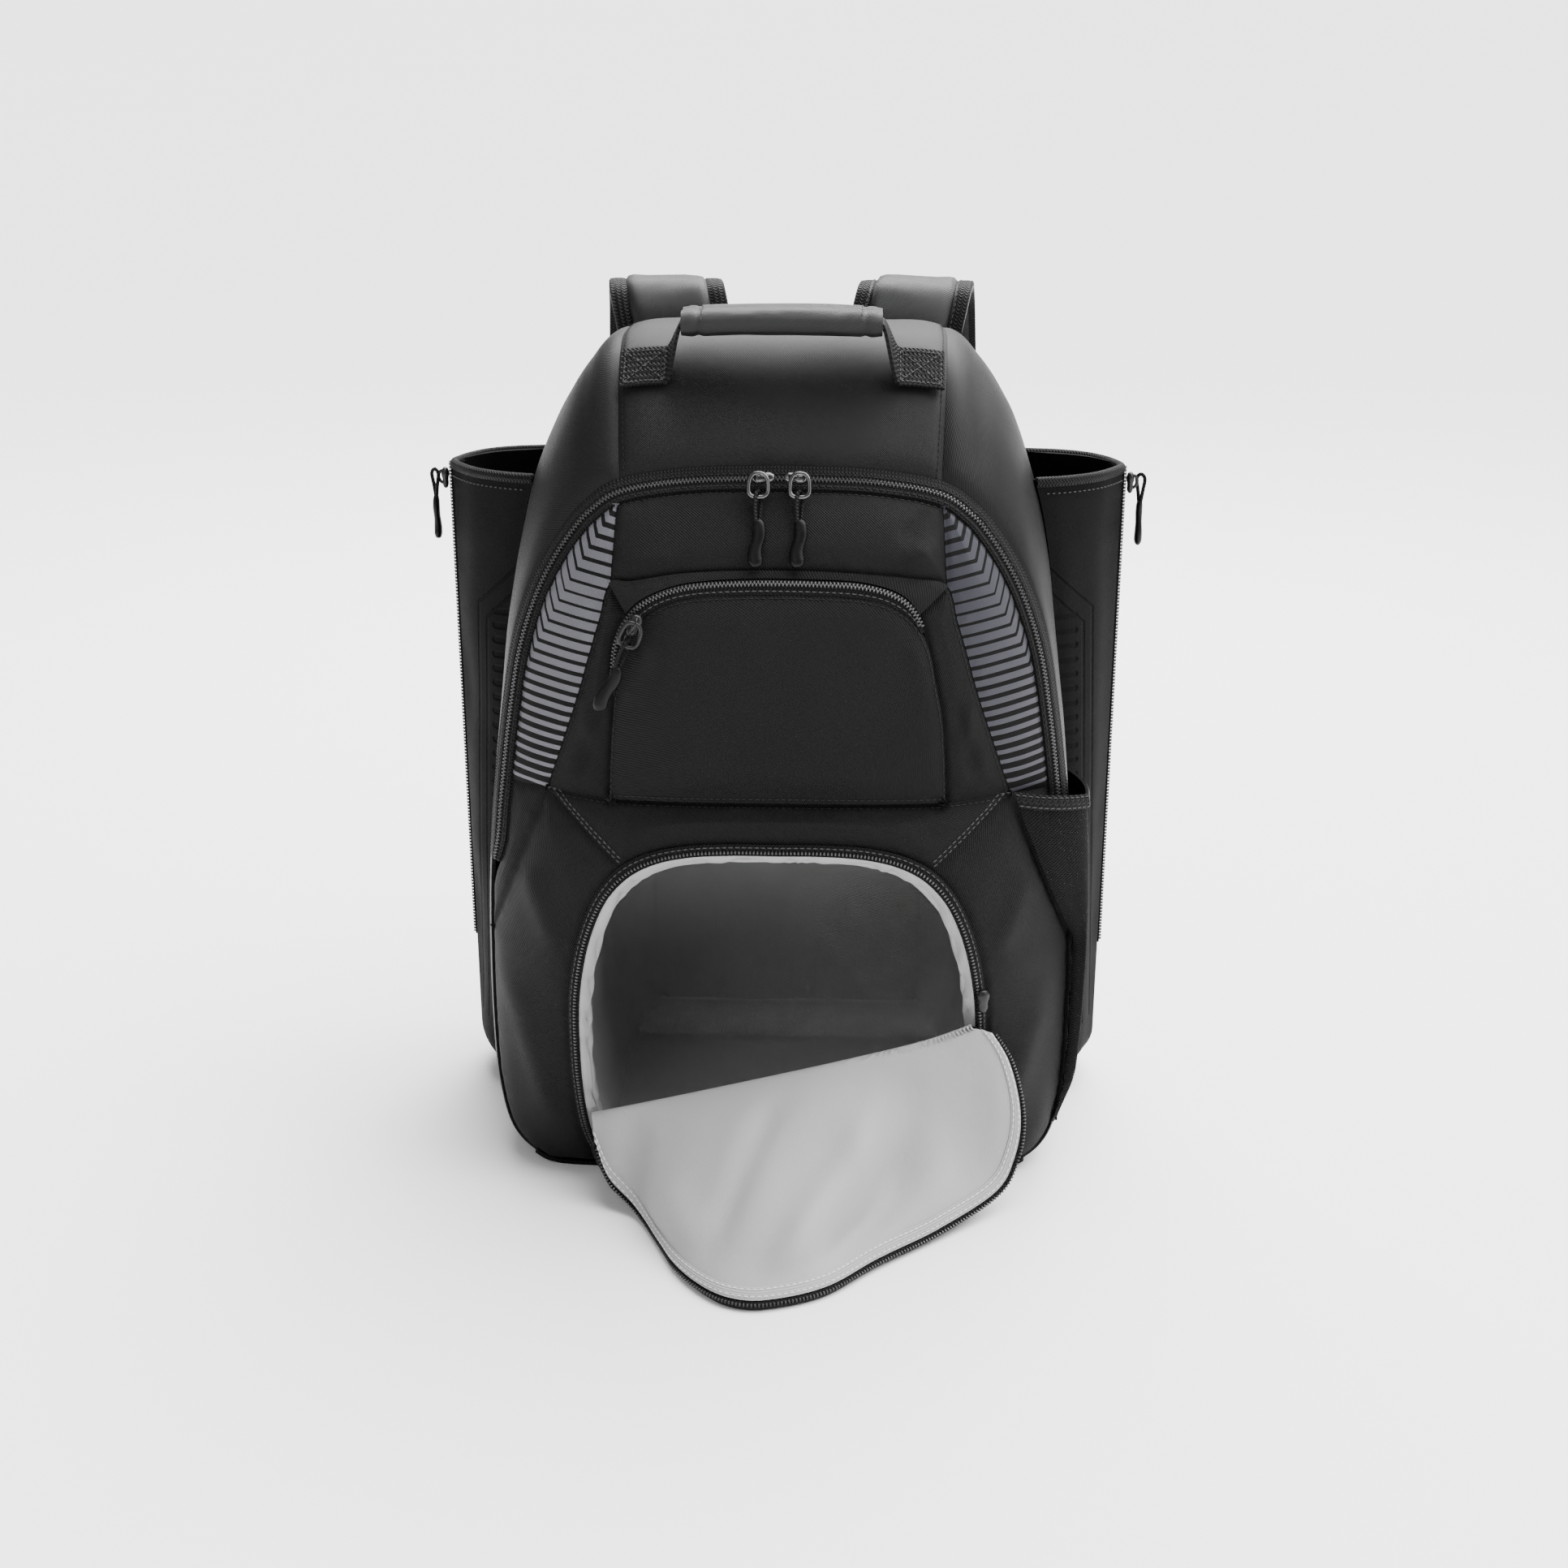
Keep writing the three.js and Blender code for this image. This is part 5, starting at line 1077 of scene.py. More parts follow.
# Bat sleeves
sleeve = {
    "span": 389, "taper": 0.5, "top": bag["height"] * 0.83, "foot": 8, "footRadius": 22, "frontAt": -6,
    "depth": 84, "wall": 3, "hem": 5.5, "ridge": 0.5, "zipWidth": 6, "zipLength": 0.77,
    "comb": 161.3, "combTop": 311, "combLean": 0.0436,
}
sleeveTable = readColumns("back out", [
    [0.000, 0.000], [0.040, 0.240], [0.110, 0.480], [0.220, 0.720], [0.380, 0.920], [0.490, 1.000],
    [0.620, 0.950], [0.760, 0.840], [0.880, 0.660], [0.960, 0.380], [1.000, 0.000]])
sleevePlan = np.stack([sleeveTable["out"], sleeveTable["back"]], -1)


def sleevePoint(side, share, z, closing=1.0):
    plan = rowCurve(sleevePlan, np.asarray(share) * 10)
    y = sleeve["frontAt"] + plan[..., 1] * sleeve["depth"]
    root = gussetHalfWidth(y, z) + bag["gap"] * 3
    drop = (sleeve["top"] - z) / (sleeve["top"] - sleeve["foot"])
    x = mix(root, sleeve["span"] / 2 - sleeve["taper"] * drop, plan[..., 0] * closing)
    return np.stack(np.broadcast_arrays(np.maximum(x, root) * side, y, z), -1)


def makeNeoprene():
    # pebbled nap with pressed slots and two pressed lines; the map holds distance from the comb and height
    look = {"pitch": 8.7, "slot": 7.4, "low": 44, "high": 311, "lines": ((10.9, 304), (16.4, 312))}
    finish = Finish("neoprene")
    across, up = finish.map("pressing")

    def edge(distance, width):
        # 1 on the line and 0 beyond its width
        return finish.number("ShaderNodeMapRange", {"interpolation_type": "SMOOTHSTEP"},
                             {0: distance, 1: width * 0.4, 2: width, 3: 1.0, 4: 0.0})

    def corner(at, knee):
        # distance from a line that runs up to its knee and slants back above it
        side = across - at
        slope = (side + up - knee) * 0.707
        return side.join("MAXIMUM", slope).alone("ABSOLUTE")

    cell = ((up * (1 / look["pitch"])).alone("FRACT") - 0.5).alone("ABSOLUTE") * look["pitch"]
    side = across.alone("ABSOLUTE") - (look["slot"] - 2)
    reach = (side.join("MAXIMUM", 0.0) ** 2 + cell ** 2).alone("SQRT")
    slots = edge(reach, 2.6) * (up > look["low"]) * (up < look["high"])
    near, far = (edge(corner(*line), 1.1) for line in look["lines"])
    lines = near + far
    pressed = slots.join("MAXIMUM", lines * (up > look["low"]))
    pebbles = finish.number("ShaderNodeTexVoronoi", None, {"Vector": finish.place(), "Scale": 1100.0})
    cloudy = finish.noise(70.0, 4.0)
    nap = (pebbles * 0.5 + cloudy * 0.5) * (1 - pressed * 0.8)
    finish.set(Base_Color=finish.colours(nap, grey(4), grey(22)), Roughness=0.82, Specular_IOR_Level=0.1)
    finish.bump(pebbles * 0.12 - pressed, 1.6)
    return finish.material, "neoprene"


finishes["neoprene"] = makeNeoprene()


def makeSleeve(label, side):
    top, foot, radius = sleeve["top"], sleeve["foot"], sleeve["footRadius"]
    closing = np.concatenate([np.sin(np.linspace(0.05, np.pi / 2, 12)), np.ones(130)])
    z = np.concatenate([foot + radius * (1 - np.cos(np.linspace(0.05, np.pi / 2, 12))),
                        np.linspace(foot + radius + 2, top - 1.5, 130)])
    share = (1 - np.cos(np.linspace(0, np.pi, 64))) / 2
    share = mix(share, np.linspace(0, 1, 64), 0.6)
    p = sleevePoint(side, share[None, :], z[:, None], closing[:, None])
    normal = outward(p, (side, 0, 0))
    d = borderDistance(p, "left right")
    height = p[..., 2]
    sag = softNoise(share * 60, height, 46, 21 + side) * 1.5 + softNoise(share * 60, height, 19, 5) * 0.4
    ridge = smooth(np.abs(share - sleeve["ridge"]), 0.02, 0.16)[None, :]
    p = p + normal * ((sag - 0.8) * smooth(d, 2, 22) * ridge)[..., None]
    comb = np.abs(p[..., 0]) - (sleeve["comb"] + (sleeve["combTop"] - height) * sleeve["combLean"])
    rear = np.broadcast_to(share > sleeve["ridge"], comb.shape)
    pressing = np.stack([np.where(rear, 90.0, comb), height], -1) * 0.001
    addSheet(f"sleeve_{label}", p, sleeve["wall"], "neoprene", [f"sleeve_{label}"], (side, -1, 0),
             maps={"pressing": pressing})
    rim = sleevePoint(side, np.linspace(0.005, 0.995, 90), np.full(90, top - 3.0))
    rim[..., 0] -= side * 1.2 * np.sin(np.linspace(0, np.pi, 90))
    addTubes(f"sleeve_hem_{label}", [tubeParts(rim, 2.9, 12, up=(0, 0, 1), flatten=1.05)], "tape",
             [f"sleeve_hem_{label}"])
    line = sleevePoint(side, np.linspace(0.03, 0.47, 80), np.full(80, top - 9.5)) + np.array([0, -0.3, 0])
    sew("thread", (line, np.tile([side * 0.5, -0.86, 0.0], (80, 1))), pitch=3.2, length=1.7)
    heights = np.linspace(top - top * sleeve["zipLength"], top - 2, 120)
    tip = sleevePoint(side, np.full(120, sleeve["ridge"]), heights)
    wide = np.linspace(-0.5, 0.5, 7)[None, :] * sleeve["zipWidth"]
    tape = np.stack([np.repeat(tip[:, :1], 7, 1) + side * (1.0 - (wide / 6) ** 2 * 2.4),
                     tip[:, 1:2] + wide, np.repeat(tip[:, 2:], 7, 1)], -1)
    addSheet(f"sleeve_zip_{label}", tape, 1.0, "tape", [f"sleeve_zip_{label}"], (side, 0, 0))
    addTeeth(f"sleeve_teeth_{label}", sampleGrid(f"sleeve_zip_{label}", np.arange(120), 3.0))


# Bottle pocket
bottle = {"top": bag["height"] * 0.502, "foot": 26, "drop": 14, "reach": 11, "backAt": -14, "turn": 0.45,
          "footReach": 0.3, "binding": 9}


def bottlePoint(u, v):
    rim = mix(bottle["top"], bottle["top"] - bottle["drop"], u)
    z = mix(bottle["foot"], rim, v)
    seam = gussetHalfWidth(-bag["seamReach"] + 0 * z, z)
    line = straight(stripTop, stripEnd)[::-1]
    rims = panelEdge(np.linspace(zips["stripEndRow"], 16.5, 60))[::-1]
    start = np.where(z > stripEnd[1], np.interp(z, line[:, 1], line[:, 0]), seam - wallInset)
    start = np.where(z > stripEnd[1], start, np.minimum(start, np.interp(z, rims[:, 1], rims[:, 0])))
    front = u <= bottle["turn"]
    x = mix(start, seam, np.clip(u / bottle["turn"], 0, 1))
    y = frontDepth(x, z)
    past = np.clip((u - bottle["turn"]) / (1 - bottle["turn"]), 0, 1)
    behind = mix(-bag["seamReach"], bottle["backAt"], past)
    y = np.where(front, y, behind)
    x = np.where(front, x, gussetHalfWidth(behind, z))
    height = (z - bottle["foot"]) / (bottle["top"] - bottle["foot"])
    seat = mix(bag["gap"] * 7, bag["gap"] * 3, u)
    stand = seat + bottle["reach"] * np.sin(np.pi * u) * mix(bottle["footReach"], 1, height)
    away = unit(np.stack([mix(0.35, 1, u) + 0 * z, -mix(1, 0.15, u) + 0 * z, 0 * z], -1))
    settle = smooth(v, -0.02, 0.16)
    return np.stack([x, y, z], -1) + away * ((stand + 1.4) * settle)[..., None]


def makeBottlePocket():
    u = np.linspace(0, 1, 60)[None, :] * np.ones((80, 1))
    v = np.linspace(0, 1, 80)[:, None] * np.ones((1, 60))
    p = bottlePoint(u, v)
    relax(p, 6)
    folds = np.sin(u * 15 + v * 2.5 + softNoise(u * 60, v * 60, 16, 8)) * 0.9 * np.sin(np.pi * u) * v
    p = p + outward(p, (1, 0, 0)) * (folds - 0.6)[..., None]
    addSheet("bottle_pocket", p[:-2], 0.5, "netting", ["bottle_pocket"], (1, -1, 0))
    share = 1 - bottle["binding"] / (bottle["top"] - bottle["foot"])
    v = np.linspace(share, 1.0, 9)[:, None] * np.ones((1, 60))
    band = bottlePoint(u[:9], v)
    dome = np.sin(np.linspace(0, np.pi, 9))[:, None]
    out = unit(np.stack([mix(0.35, 1, u[:9]), -mix(1, 0.15, u[:9]), 0 * v], -1))
    band = band + out * (0.9 * dome)[..., None]
    addSheet("bottle_binding", band, 1.6, "webbing", ["bottle_binding"], (1, -1, 0))
    for row in (1.4, 6.8):
        sew("thread", sampleGrid("bottle_binding", row, np.arange(60)))


# Handle
handle = {
    "at": -24, "width": 25, "wall": 1.8, "grip": 108, "deep": 28, "high": 15, "rise": 21, "reach": 88,
    "patch": 24, "arch": 4, "wrap": 1.5,
}


def topHeight(x, y):
    row = np.abs(x) / crestPoints[bag["shoulderRow"], 0] * bag["shoulderRow"]
    front = ringPoint(seamPoints, row)[..., 1]
    return gussetPoint(row, (y - front) / (bag["backReach"] - front))[..., 2]


def handleFrame(x):
    slope = (topHeight(x, handle["at"] + 2) - topHeight(x, handle["at"] - 2)) / 4
    lifted = smooth(handle["reach"] - np.abs(x), handle["patch"], handle["reach"] - handle["grip"] / 2)
    arch = handle["arch"] * (1 - (x / handle["reach"]) ** 2)
    rest = topHeight(x, handle["at"]) + bag["gap"] * 3
    crest = topHeight(np.zeros(1), handle["at"]) + handle["rise"] + arch
    return np.arctan(slope) * (1 - lifted), mix(rest, crest, lifted)


def makeHandle():
    x = np.linspace(-handle["reach"], handle["reach"], 140)[:, None]
    tilt, z = handleFrame(x)
    across = np.linspace(-0.5, 0.5, 14)[None, :] * handle["width"]
    lift = handle["wall"] + 0.6
    p = np.stack([x + 0 * across, handle["at"] + across * np.cos(tilt) - lift * np.sin(tilt),
                  z + across * np.sin(tilt) + lift * np.cos(tilt)], -1)
    addSheet("handle_webbing", p, 1.8, "webbing", ["handle_webbing"], (0, 0, 1))
    rows = len(p) - 1
    patch = handle["patch"] / (2 * handle["reach"]) * rows
    for first, last in ((1.5, patch), (rows - patch, rows - 1.5)):
        corners = [(first, 1.2), (last, 1.2), (last, 11.8), (first, 11.8), (first, 1.2), (last, 11.8)]
        for a, b in list(zip(corners, corners[1:])) + [((last, 1.2), (first, 11.8))]:
            run = straight(a, b, 24)
            sew("thread", sampleGrid("handle_webbing", run[:, 0], run[:, 1]), pitch=2.6, length=1.8)
    makeGrip()


def makeGrip():
    # two puffed lobes side by side, a sewn line between them and a sewn line near each end
    along, around = 92, 60
    x = np.linspace(-handle["grip"] / 2, handle["grip"] / 2, along)[:, None]
    angle = np.linspace(0, 2 * np.pi, around, endpoint=False)[None, :]
    deep, high = handle["deep"] / 2 + handle["wrap"], handle["high"] / 2
    end = np.abs(x) / (handle["grip"] / 2)
    _, z = handleFrame(x)
    top = smooth(np.sin(angle), 0.2, 0.8)
    front = np.cos(angle) * deep
    seam = np.exp(-((front + 1.0) / 1.6) ** 2) * top
    cross = np.exp(-((np.abs(x) - handle["grip"] / 2 + 9) / 1.6) ** 2)
    wrinkle = softNoise(x, angle * 14, 7, 31) * 0.7 * smooth(-front, 4, 12)
    wrinkle = wrinkle + softNoise(x, angle * 14, 16, 3) * 0.5
    lobes = 0.1 * np.sin(np.clip(np.abs(front + 1.0) / deep, 0, 1) * np.pi) * top
    swell = 1 - 0.1 * smooth(end, 0.9, 1.0) - 0.34 * seam + lobes - 0.12 * cross + wrinkle * 0.08
    p = np.stack([x + 0 * angle, handle["at"] + deep * squared(np.cos(angle), 0.75) * (1 - 0.03 * cross),
                  z + handle["wall"] / 2 + high * squared(np.sin(angle), 0.75) * swell], -1)
    piece = addSheet("handle_grip", p, 2.0, "padcloth", ["handle_grip"], (0, 0, 0), wrap=True)
    centre = around * 0.25 + 0.8
    rows = np.linspace(4, along - 5, 100)
    sew("thread", sampleGrid("handle_grip", rows, centre))
    for row in (9.2, along - 10.2):
        sew("thread", sampleGrid("handle_grip", row, np.linspace(around * 0.04, around * 0.47, 60)))


# Shoulder straps
strap = {
    "width": 66, "pad": 10, "centre": 68, "spread": 30, "crest": bag["height"] * 1.017, "drop": 300,
    "standOff": 62, "binding": 10,
}
strapTable = readColumns("back drop spread width", [
    [0.00, 0.140, 0.00, 1.00], [0.01, 0.070, 0.04, 1.00], [0.13, 0.018, 0.16, 1.00],
    [0.34, 0.000, 0.25, 1.00], [0.62, 0.012, 0.32, 1.00], [0.86, 0.070, 0.38, 1.00],
    [0.98, 0.200, 0.45, 1.00], [1.00, 0.400, 0.60, 0.97], [0.93, 0.620, 0.78, 0.92],
    [0.78, 0.820, 0.92, 0.84], [0.60, 1.000, 1.00, 0.72]])
strapRoot = bag["backReach"] + strap["pad"] / 2 + bag["gap"]
strapPoints = np.stack([strap["centre"] + strapTable["spread"] * strap["spread"],
                        strapRoot + strapTable["back"] * strap["standOff"],
                        strap["crest"] - strapTable["drop"] * strap["drop"],
                        strapTable["width"] * strap["width"]], -1)


def strapSurface(side, rows, across, out):
    # points of the strap, across from -1 to 1 of its half width and out from its middle in millimetres
    at = rowCurve(strapPoints, rows)
    before, after = rowCurve(strapPoints, np.maximum(rows - 0.1, 0)), rowCurve(strapPoints, rows + 0.1)
    run = unit((after - before)[..., :3])
    turn = np.array([side, 1, 1])
    place, run = at[..., :3] * turn, run * turn
    wide = unit(np.array([1.0, 0, 0]) - run * run[..., :1])
    away = np.cross(wide, run)
    return place + wide * (across * at[..., 3] / 2)[..., None] + away * out[..., None]


def makeStrap(label, side):
    count = 120
    rows = np.linspace(0, 10, count)[:, None]
    ring = np.linspace(0, 2 * np.pi, 60, endpoint=False)[None, :]
    across = squared(np.cos(ring), 0.45) * 0.97 + 0 * rows
    face = np.sin(ring)
    fold = softNoise(rows * 28, across * 33, 17, 40 + side) * 0.8
    fold = fold + softNoise(rows * 28, across * 33, 42, 9) * 0.7
    flat = smooth(np.abs(across), 0.62, 0.74)
    thick = mix(4.9, 2.6, flat) - 1.1 * np.exp(-((np.abs(across) - 0.7) / 0.035) ** 2)
    out = squared(face, 0.6) * thick + fold * (1 - flat) * smooth(face, 0, 0.6) - 0.2
    p = strapSurface(side, rows + 0 * ring, across, out)
    name = f"strap_pad_{label}"
    piece = addSheet(name, p, 1.5, "padcloth", [name], (0, 0, 0), wrap=True)
    span = np.linspace(-0.68, 0.68, 28)[None, :]
    sunk = -(4.9 + 0.5 * (1 - (span / 0.7) ** 4))
    inner = strapSurface(side, rows + 0 * span, span + 0 * rows, sunk + 0 * rows)
    at = rowCurve(strapPoints, np.array([5.0]))
    away = strapSurface(side, np.array([5.0]), np.zeros(1), np.ones(1)) - at[:, :3] * np.array([side, 1, 1])
    addSheet(f"strap_mesh_{label}", inner[1:-1], 0.7, "airmesh", (), -away[0])
    half = strap["binding"] / strap["width"] * 2
    for edge in (-1, 1):
        wrap = np.linspace(-1, 1, 17)[None, :]
        reach = np.abs(wrap)
        near = 1.0 - half * np.maximum(reach - 0.22, 0) / 0.78
        lift = 3.1 * np.sin(np.minimum(reach / 0.22, 1) * np.pi / 2)
        lift = np.sign(wrap) * (lift + 0.5 * smooth(reach, 0.2, 0.5) - 0.9 * smooth(reach, 0.85, 1.0))
        p = strapSurface(side, rows + 0 * wrap, edge * (near + 0.012) + 0 * rows, lift + 0 * rows)
        name = f"strap_binding_{label}_{'outer' if edge > 0 else 'inner'}"
        addSheet(name, p, 0.7, "tape", (), (side * edge, 0, 0))
        for row in (1.6, 14.4):
            sew("thread", sampleGrid(name, np.arange(count), row))


def makeStrapWebbing(label, side):
    # from the adjuster down to its anchor at the foot of the back, where it lies flat
    end = strapSurface(side, np.array([10.0, 9.9]), np.zeros(2), np.zeros(2))
    head = end[0] + unit(end[0] - end[1]) * (34 + handle["wall"])
    anchor = np.array([side * 128, bag["backReach"] + 2.2, 36])
    spine = np.vstack([straight(head, anchor, 60), straight(anchor, anchor - [0, 0, 24], 12)[1:]])
    across = np.linspace(-0.5, 0.5, 12)[None, :, None] * np.array([25.0, 0, 0])
    name = f"strap_webbing_{label}"
    addSheet(name, spine[:, None] + across, 1.8, "webbing", [name], (0, 1, 0))
    for a, b in (((60, 1.2), (69, 9.8)), ((60, 9.8), (69, 1.2)),
                 ((60, 1.2), (60, 9.8)), ((69, 1.2), (69, 9.8))):
        run = straight(a, b, 16)
        sew("thread", sampleGrid(name, run[:, 0], run[:, 1]), pitch=2.6, length=1.8)


def sewSeams():
    for start, end in ((0.0, 0.2), (0.8, 1.0)):
        for inset in (2.8, 5.4):
            sew("thread", gridLine("lower_band", "left", inset, start, end))
    for name, side, inset in (("front_top_panel", "right", 2.4), ("pocket_panel", "right", 2.6),
                              ("pocket_panel", "left", 2.6), ("pocket_side_left", "right", 2.6),
                              ("pocket_side_right", "right", 2.6), ("lower_band", "right", 2.6),
                              ("gusset_top", "left", 2.8), ("gusset_top", "right", 2.8)):
        sew("blackThread", gridLine(name, side, inset))
    for side in ("left", "right"):
        sew("blackThread", gridLine("back_panel", side, 8, 0.2, 0.95))


# Zip pulls
pull = {
    "length": 12, "height": 5, "wire": 1.3, "ring": 13, "ringWidth": 9, "cord": 1.8,
    "cordLength": 14, "grip": 24, "seat": 0.95,
}


def turned(points, place, tilt=0.0, lean=0.0, turn=0.0):
    # about X by tilt, then about Y by lean, then about Z by turn
    c, s = np.cos([tilt, lean, turn]), np.sin([tilt, lean, turn])
    aboutX = np.array([[1, 0, 0], [0, c[0], -s[0]], [0, s[0], c[0]]])
    aboutY = np.array([[c[1], 0, s[1]], [0, 1, 0], [-s[1], 0, c[1]]])
    aboutZ = np.array([[c[2], -s[2], 0], [s[2], c[2], 0], [0, 0, 1]])
    return np.asarray(points) @ (aboutZ @ aboutY @ aboutX).T + place


def addPull(label, place, ring=True, metal="gunmetal", facing=0, **angles):
    # a slider that hangs, or with facing lies along its zip with its nose to that side
    put = lambda part: (turned(part[0], place, **angles),) + part[1:]
    height, length = pull["height"], pull["length"]
    run = np.linspace(-0.6, -length + 0.6, 9)
    body = np.stack([np.zeros(9), np.full(9, -height * 0.45), run], -1)
    radius = np.array([2.6, 3.5, 3.9, 3.6, 3.0, 2.8, 3.0, 2.8, 2.0])
    bridge = np.array([[0, -3.2, -1.6], [0, -5.2, -2.2], [0, -6.2, -4.2],
                       [0, -6.0, -6.6], [0, -4.6, -8.6], [0, -3.0, -9]])
    if facing:
        body = np.stack([facing * (-run - 3.5), body[:, 1], np.full(9, -length * 0.45)], -1)
        bridge = np.stack([facing * (-bridge[:, 2] - 3.5), bridge[:, 1], np.full(6, -length * 0.45)], -1)
    slider = [put(tubeParts(body, radius, 16, flatten=0.62, up=(0, 1, 0))),
              put(tubeParts(rowCurve(bridge, np.linspace(0, 5, 18)), 0.95, 10, up=(1, 0, 0)))]
    addTubes(f"{label}_slider", slider, metal, [f"{label}_slider"])
    ahead = -height - bag["gap"]
    hook = -length * 0.35
    if ring:
        angle = np.linspace(0, 2 * np.pi, 40, endpoint=False)
        wide = mix(0.82, 1.08, (1 - np.sin(angle)) / 2) * (pull["ringWidth"] / 2 + 0.9)
        loop = np.stack([squared(np.cos(angle), 0.7) * wide, np.full(40, ahead - 0.6),
                         pull["ring"] / 2 * squared(np.sin(angle), 0.7) - pull["ring"] / 2 + hook], -1)
        addTubes(f"{label}_ring", [put(tubeParts(loop, 1.25, 12, closed=True, up=(0, 1, 0)))], metal,
                 [f"{label}_ring"])
        hook = hook - pull["ring"]
    legs = pull["wire"] / 2 + pull["cord"] / 2 + bag["gap"] * 2
    bar = ahead - pull["wire"] / 2 if ring else ahead - legs - pull["cord"] / 2
    foot, bend = hook - pull["cordLength"], hook + pull["wire"] / 2
    leg = mix(foot, bend, 0.55)
    loop = np.array([[-0.8, bar, foot - 2], [-1.5, bar - legs * 0.6, leg], [-1.2, bar - legs, bend],
                     [0, bar, bend + legs * 1.2],
                     [1.2, bar + legs, bend], [1.5, bar + legs * 0.6, leg], [0.8, bar, foot - 2]])
    cord = tubeParts(rowCurve(loop, np.linspace(0, 6, 48)), pull["cord"] * 0.6, 10, up=(0, 1, 0))
    addTubes(f"{label}_cord", [put(cord)], "tape", [f"{label}_cord"])
    t = np.linspace(0, 1, 30)
    spine = np.stack([1.1 * np.sin(t * 2 * np.pi), np.full(30, bar), foot + 1 - t * pull["grip"]], -1)
    shape = np.interp(t, [0, 0.08, 0.25, 0.5, 0.75, 0.92, 1], [2.6, 3.3, 3.5, 3.2, 3.9, 4.0, 3.1])
    addTubes(f"{label}_grip", [put(tubeParts(spine, shape, 16, flatten=0.58, up=(0, 1, 0)))], "rubber",
             [f"{label}_grip"])


def makePulls():
    spacing, lie = 22, 0.9
    for label, side in (("right", 1), ("left", -1)):
        x = side * spacing / 2
        row = spacing / 2 / (half * outline["seamX"][1])
        z = ringPoint(seamPoints, row, wallInset + zips["width"] / 2)[2]
        top = np.array([x, frontDepth(x, z) - pull["seat"], z + pull["length"] / 2])
        reach = pull["length"] + pull["ring"] + pull["cordLength"] + pull["grip"]
        low = top[2] - reach * 0.75
        tilt = np.arctan2(top[1] - frontDepth(x, low), reach * 0.75)
        addPull(f"main_{label}", top, facing=-side, tilt=-tilt * lie)
        z = sleeve["top"] - sleeve["hem"]
        tip = sleevePoint(1, np.array(sleeve["ridge"]), np.array(z))
        place = np.array([side * (tip[0] + zips["wall"] + bag["gap"] * 2), tip[1], z])
        addPull(f"sleeve_{label}", place, ring=False, metal="darkMetal", turn=side * np.pi / 2)
    row, first = 5.4, 5
    edge = mix(pocketEdge[first], pocketEdge[first + 1], row - first)
    outer = mix(tapeOuter[first], tapeOuter[first + 1], row - first)
    x, z = (edge + outer) / 2
    place = np.array([x, frontDepth(x, z) - pocket["lift"] - pull["seat"], z])
    addPull("pocket", place, metal="darkMetal", lean=0.4, tilt=-0.12)
    z = 110 + pull["length"]
    line = mouthHalf(opening["tape"] / 2)[::-1]
    x = np.interp(z, line[:, 1], line[:, 0])
    turn = np.arctan((frontDepth(x + 2, z) - frontDepth(x - 2, z)) / 4)
    body = np.stack([np.zeros(9), np.full(9, -3.0), np.linspace(-6, 6, 9)], -1)
    radius = np.array([2.0, 2.8, 3.0, 2.8, 3.0, 3.6, 3.9, 3.5, 2.6])
    part = tubeParts(body, radius, 16, flatten=0.62, up=(0, 1, 0))
    part = (turned(part[0], onFront(x, z), turn=turn),) + part[1:]
    addTubes("shoe_slider", [part], "darkMetal", ["shoe_slider"])


makeBottlePocket()
makeHandle()
for label, side in (("right", 1), ("left", -1)):
    makeSleeve(label, side)
    makeStrap(label, side)
    makeStrapWebbing(label, side)
    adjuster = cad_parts[f"strap_adjuster_{label}"]
    adjuster.data.materials.clear()
    adjuster.data.materials.append(finishes["plastic"][0])
makePulls()
sewSeams()
for finish, runs in seams.items():
    addMesh(f"stitches_{finish}", *joinParts(runs), finish)
print("sleeves, straps, handle and pulls made")

# Stage, lights and camera
shot = {"azimuth": 2.0, "elevation": 20.0, "distance": 1.3, "target": (0, 0, 0.2035),
        "sensor": 36, "focal": 2700 / 1932 * 36}


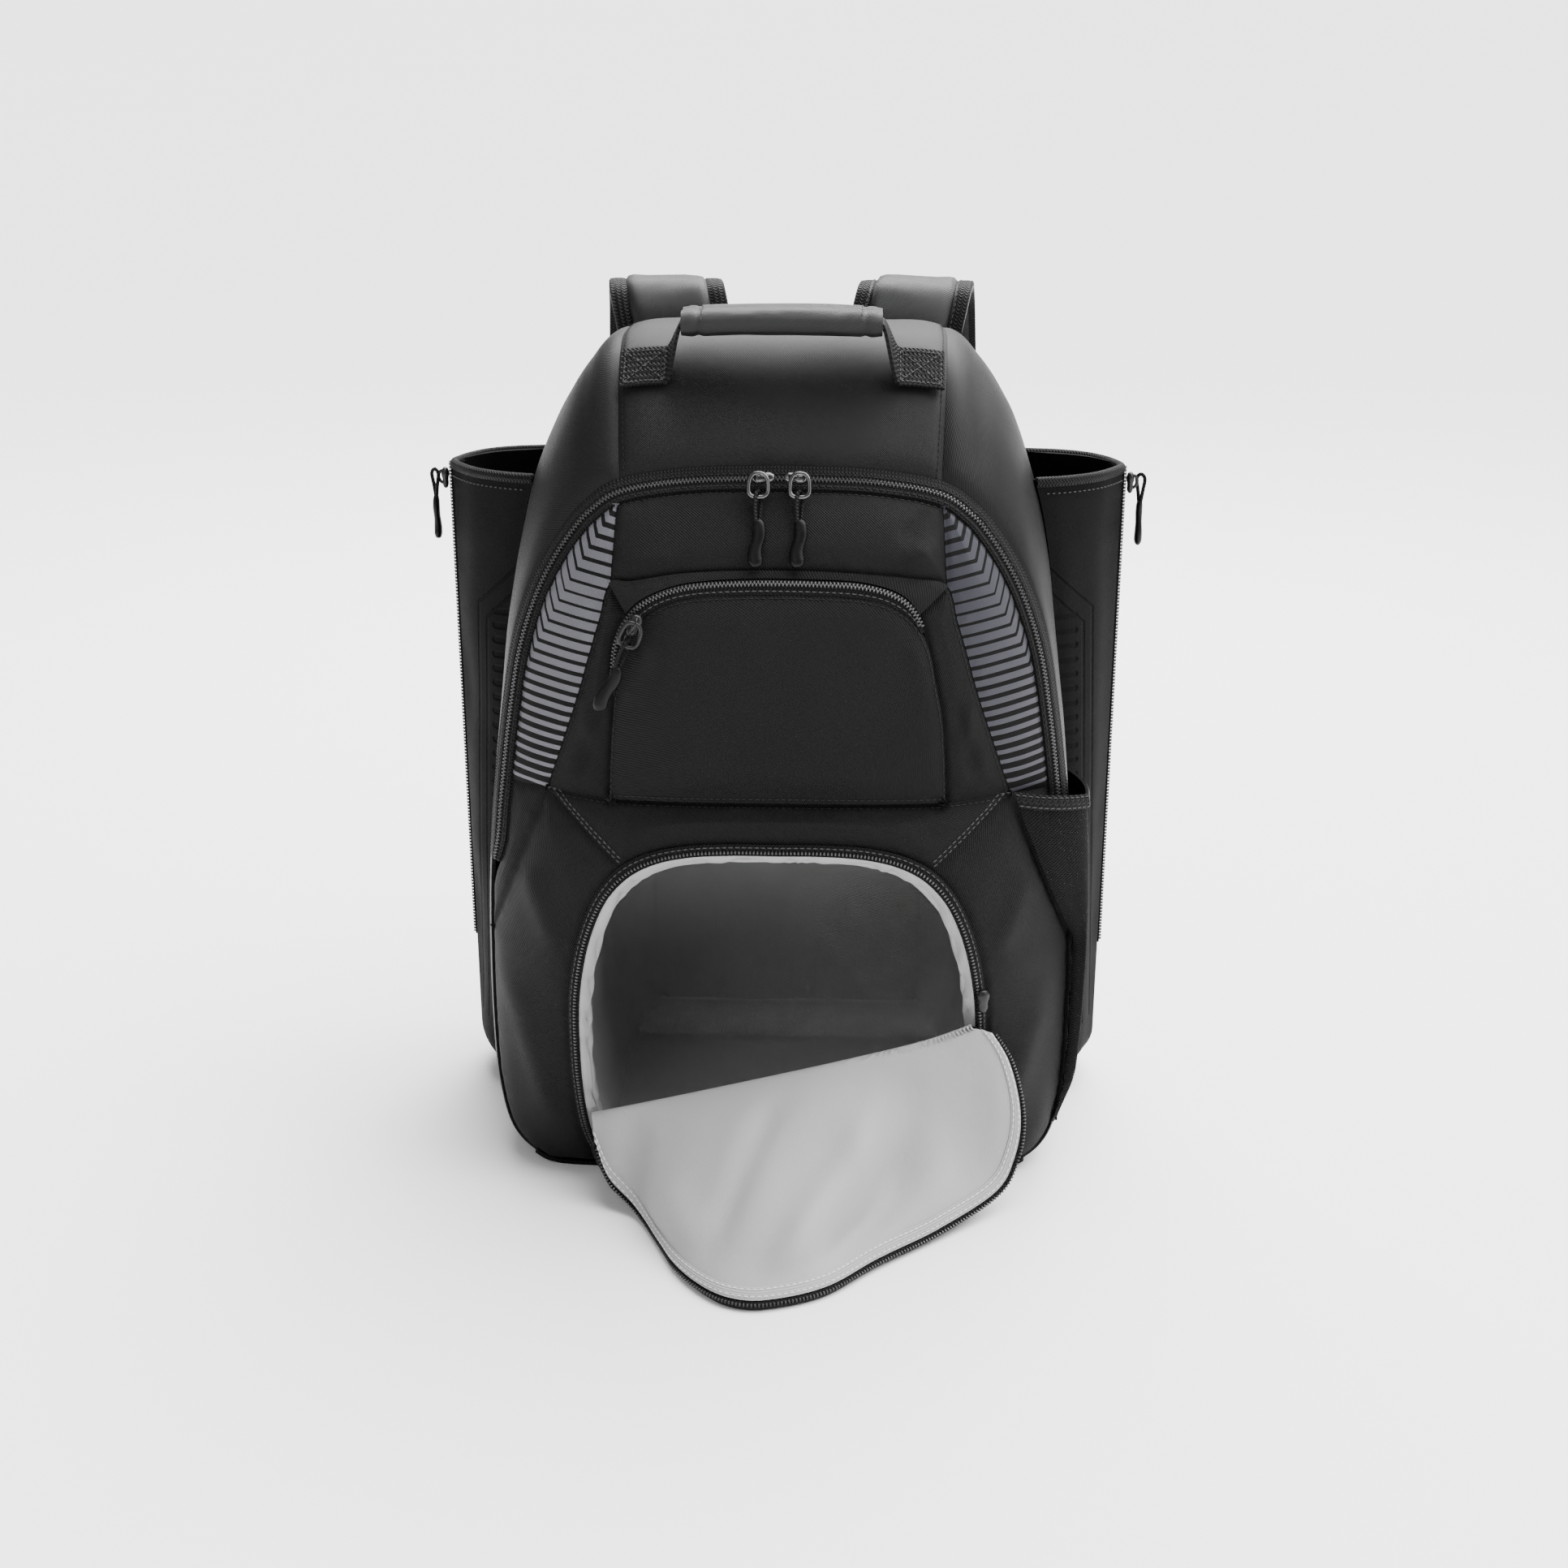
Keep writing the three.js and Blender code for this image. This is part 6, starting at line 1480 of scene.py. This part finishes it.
def addLight(name, place, size, power, aim=(0, 0, 0.22)):
    data = bpy.data.lights.new(name, "AREA")
    data.shape = "RECTANGLE"
    data.size, data.size_y = size
    data.energy = power
    lamp = bpy.data.objects.new(name, data)
    bpy.context.scene.collection.objects.link(lamp)
    lamp.location = place
    lamp.rotation_euler = (Vector(aim) - Vector(place)).to_track_quat("-Z", "Y").to_euler()


def makeStage():
    reach = 400
    verts = [(-reach, -reach, 0), (reach, -reach, 0), (reach, reach, 0), (-reach, reach, 0)]
    dark, light = ([share] * 3 + [1] for share in (0.93, 0.95))
    finish = Finish("floor")
    cloudy = finish.noise(0.4, 1.0)
    finish.set(Base_Color=finish.colours(cloudy, dark, light), Roughness=0.9)
    mesh = bpy.data.meshes.new("floor")
    mesh.from_pydata(verts, [], [(0, 1, 2, 3)])
    floor = bpy.data.objects.new("floor", mesh)
    bpy.context.scene.collection.objects.link(floor)
    mesh.materials.append(finish.material)
    world = bpy.data.worlds.new("studio")
    bpy.context.scene.world = world
    world.use_nodes = True
    world.node_tree.nodes["Background"].inputs[0].default_value = (1, 1, 1, 1)
    world.node_tree.nodes["Background"].inputs[1].default_value = 0.42
    sun = bpy.data.lights.new("overhead", "SUN")
    sun.energy = 11
    sun.angle = np.radians(70)
    lamp = bpy.data.objects.new("overhead", sun)
    bpy.context.scene.collection.objects.link(lamp)
    lamp.rotation_euler = Vector((0.42, 0.3, 1.0)).to_track_quat("Z", "Y").to_euler()
    addLight("front", (-0.9, -1.7, 1.5), (1.4, 1.0), 10)
    addLight("right", (1.6, -0.7, 1.0), (0.7, 1.4), 16)
    addLight("back", (0.1, 1.3, 1.5), (1.6, 0.7), 50)


def makeCamera():
    a, e = np.radians(shot["azimuth"]), np.radians(shot["elevation"])
    back = np.array([np.sin(a) * np.cos(e), -np.cos(a) * np.cos(e), np.sin(e)])
    place = np.array(shot["target"]) + back * shot["distance"]
    data = bpy.data.cameras.new("camera")
    data.sensor_width = shot["sensor"]
    data.lens = shot["focal"]
    data.clip_end = 900
    camera = bpy.data.objects.new("camera", data)
    bpy.context.scene.collection.objects.link(camera)
    camera.location = place
    camera.rotation_euler = Vector(-back).to_track_quat("-Z", "Y").to_euler()
    bpy.context.scene.camera = camera


makeStage()
makeCamera()
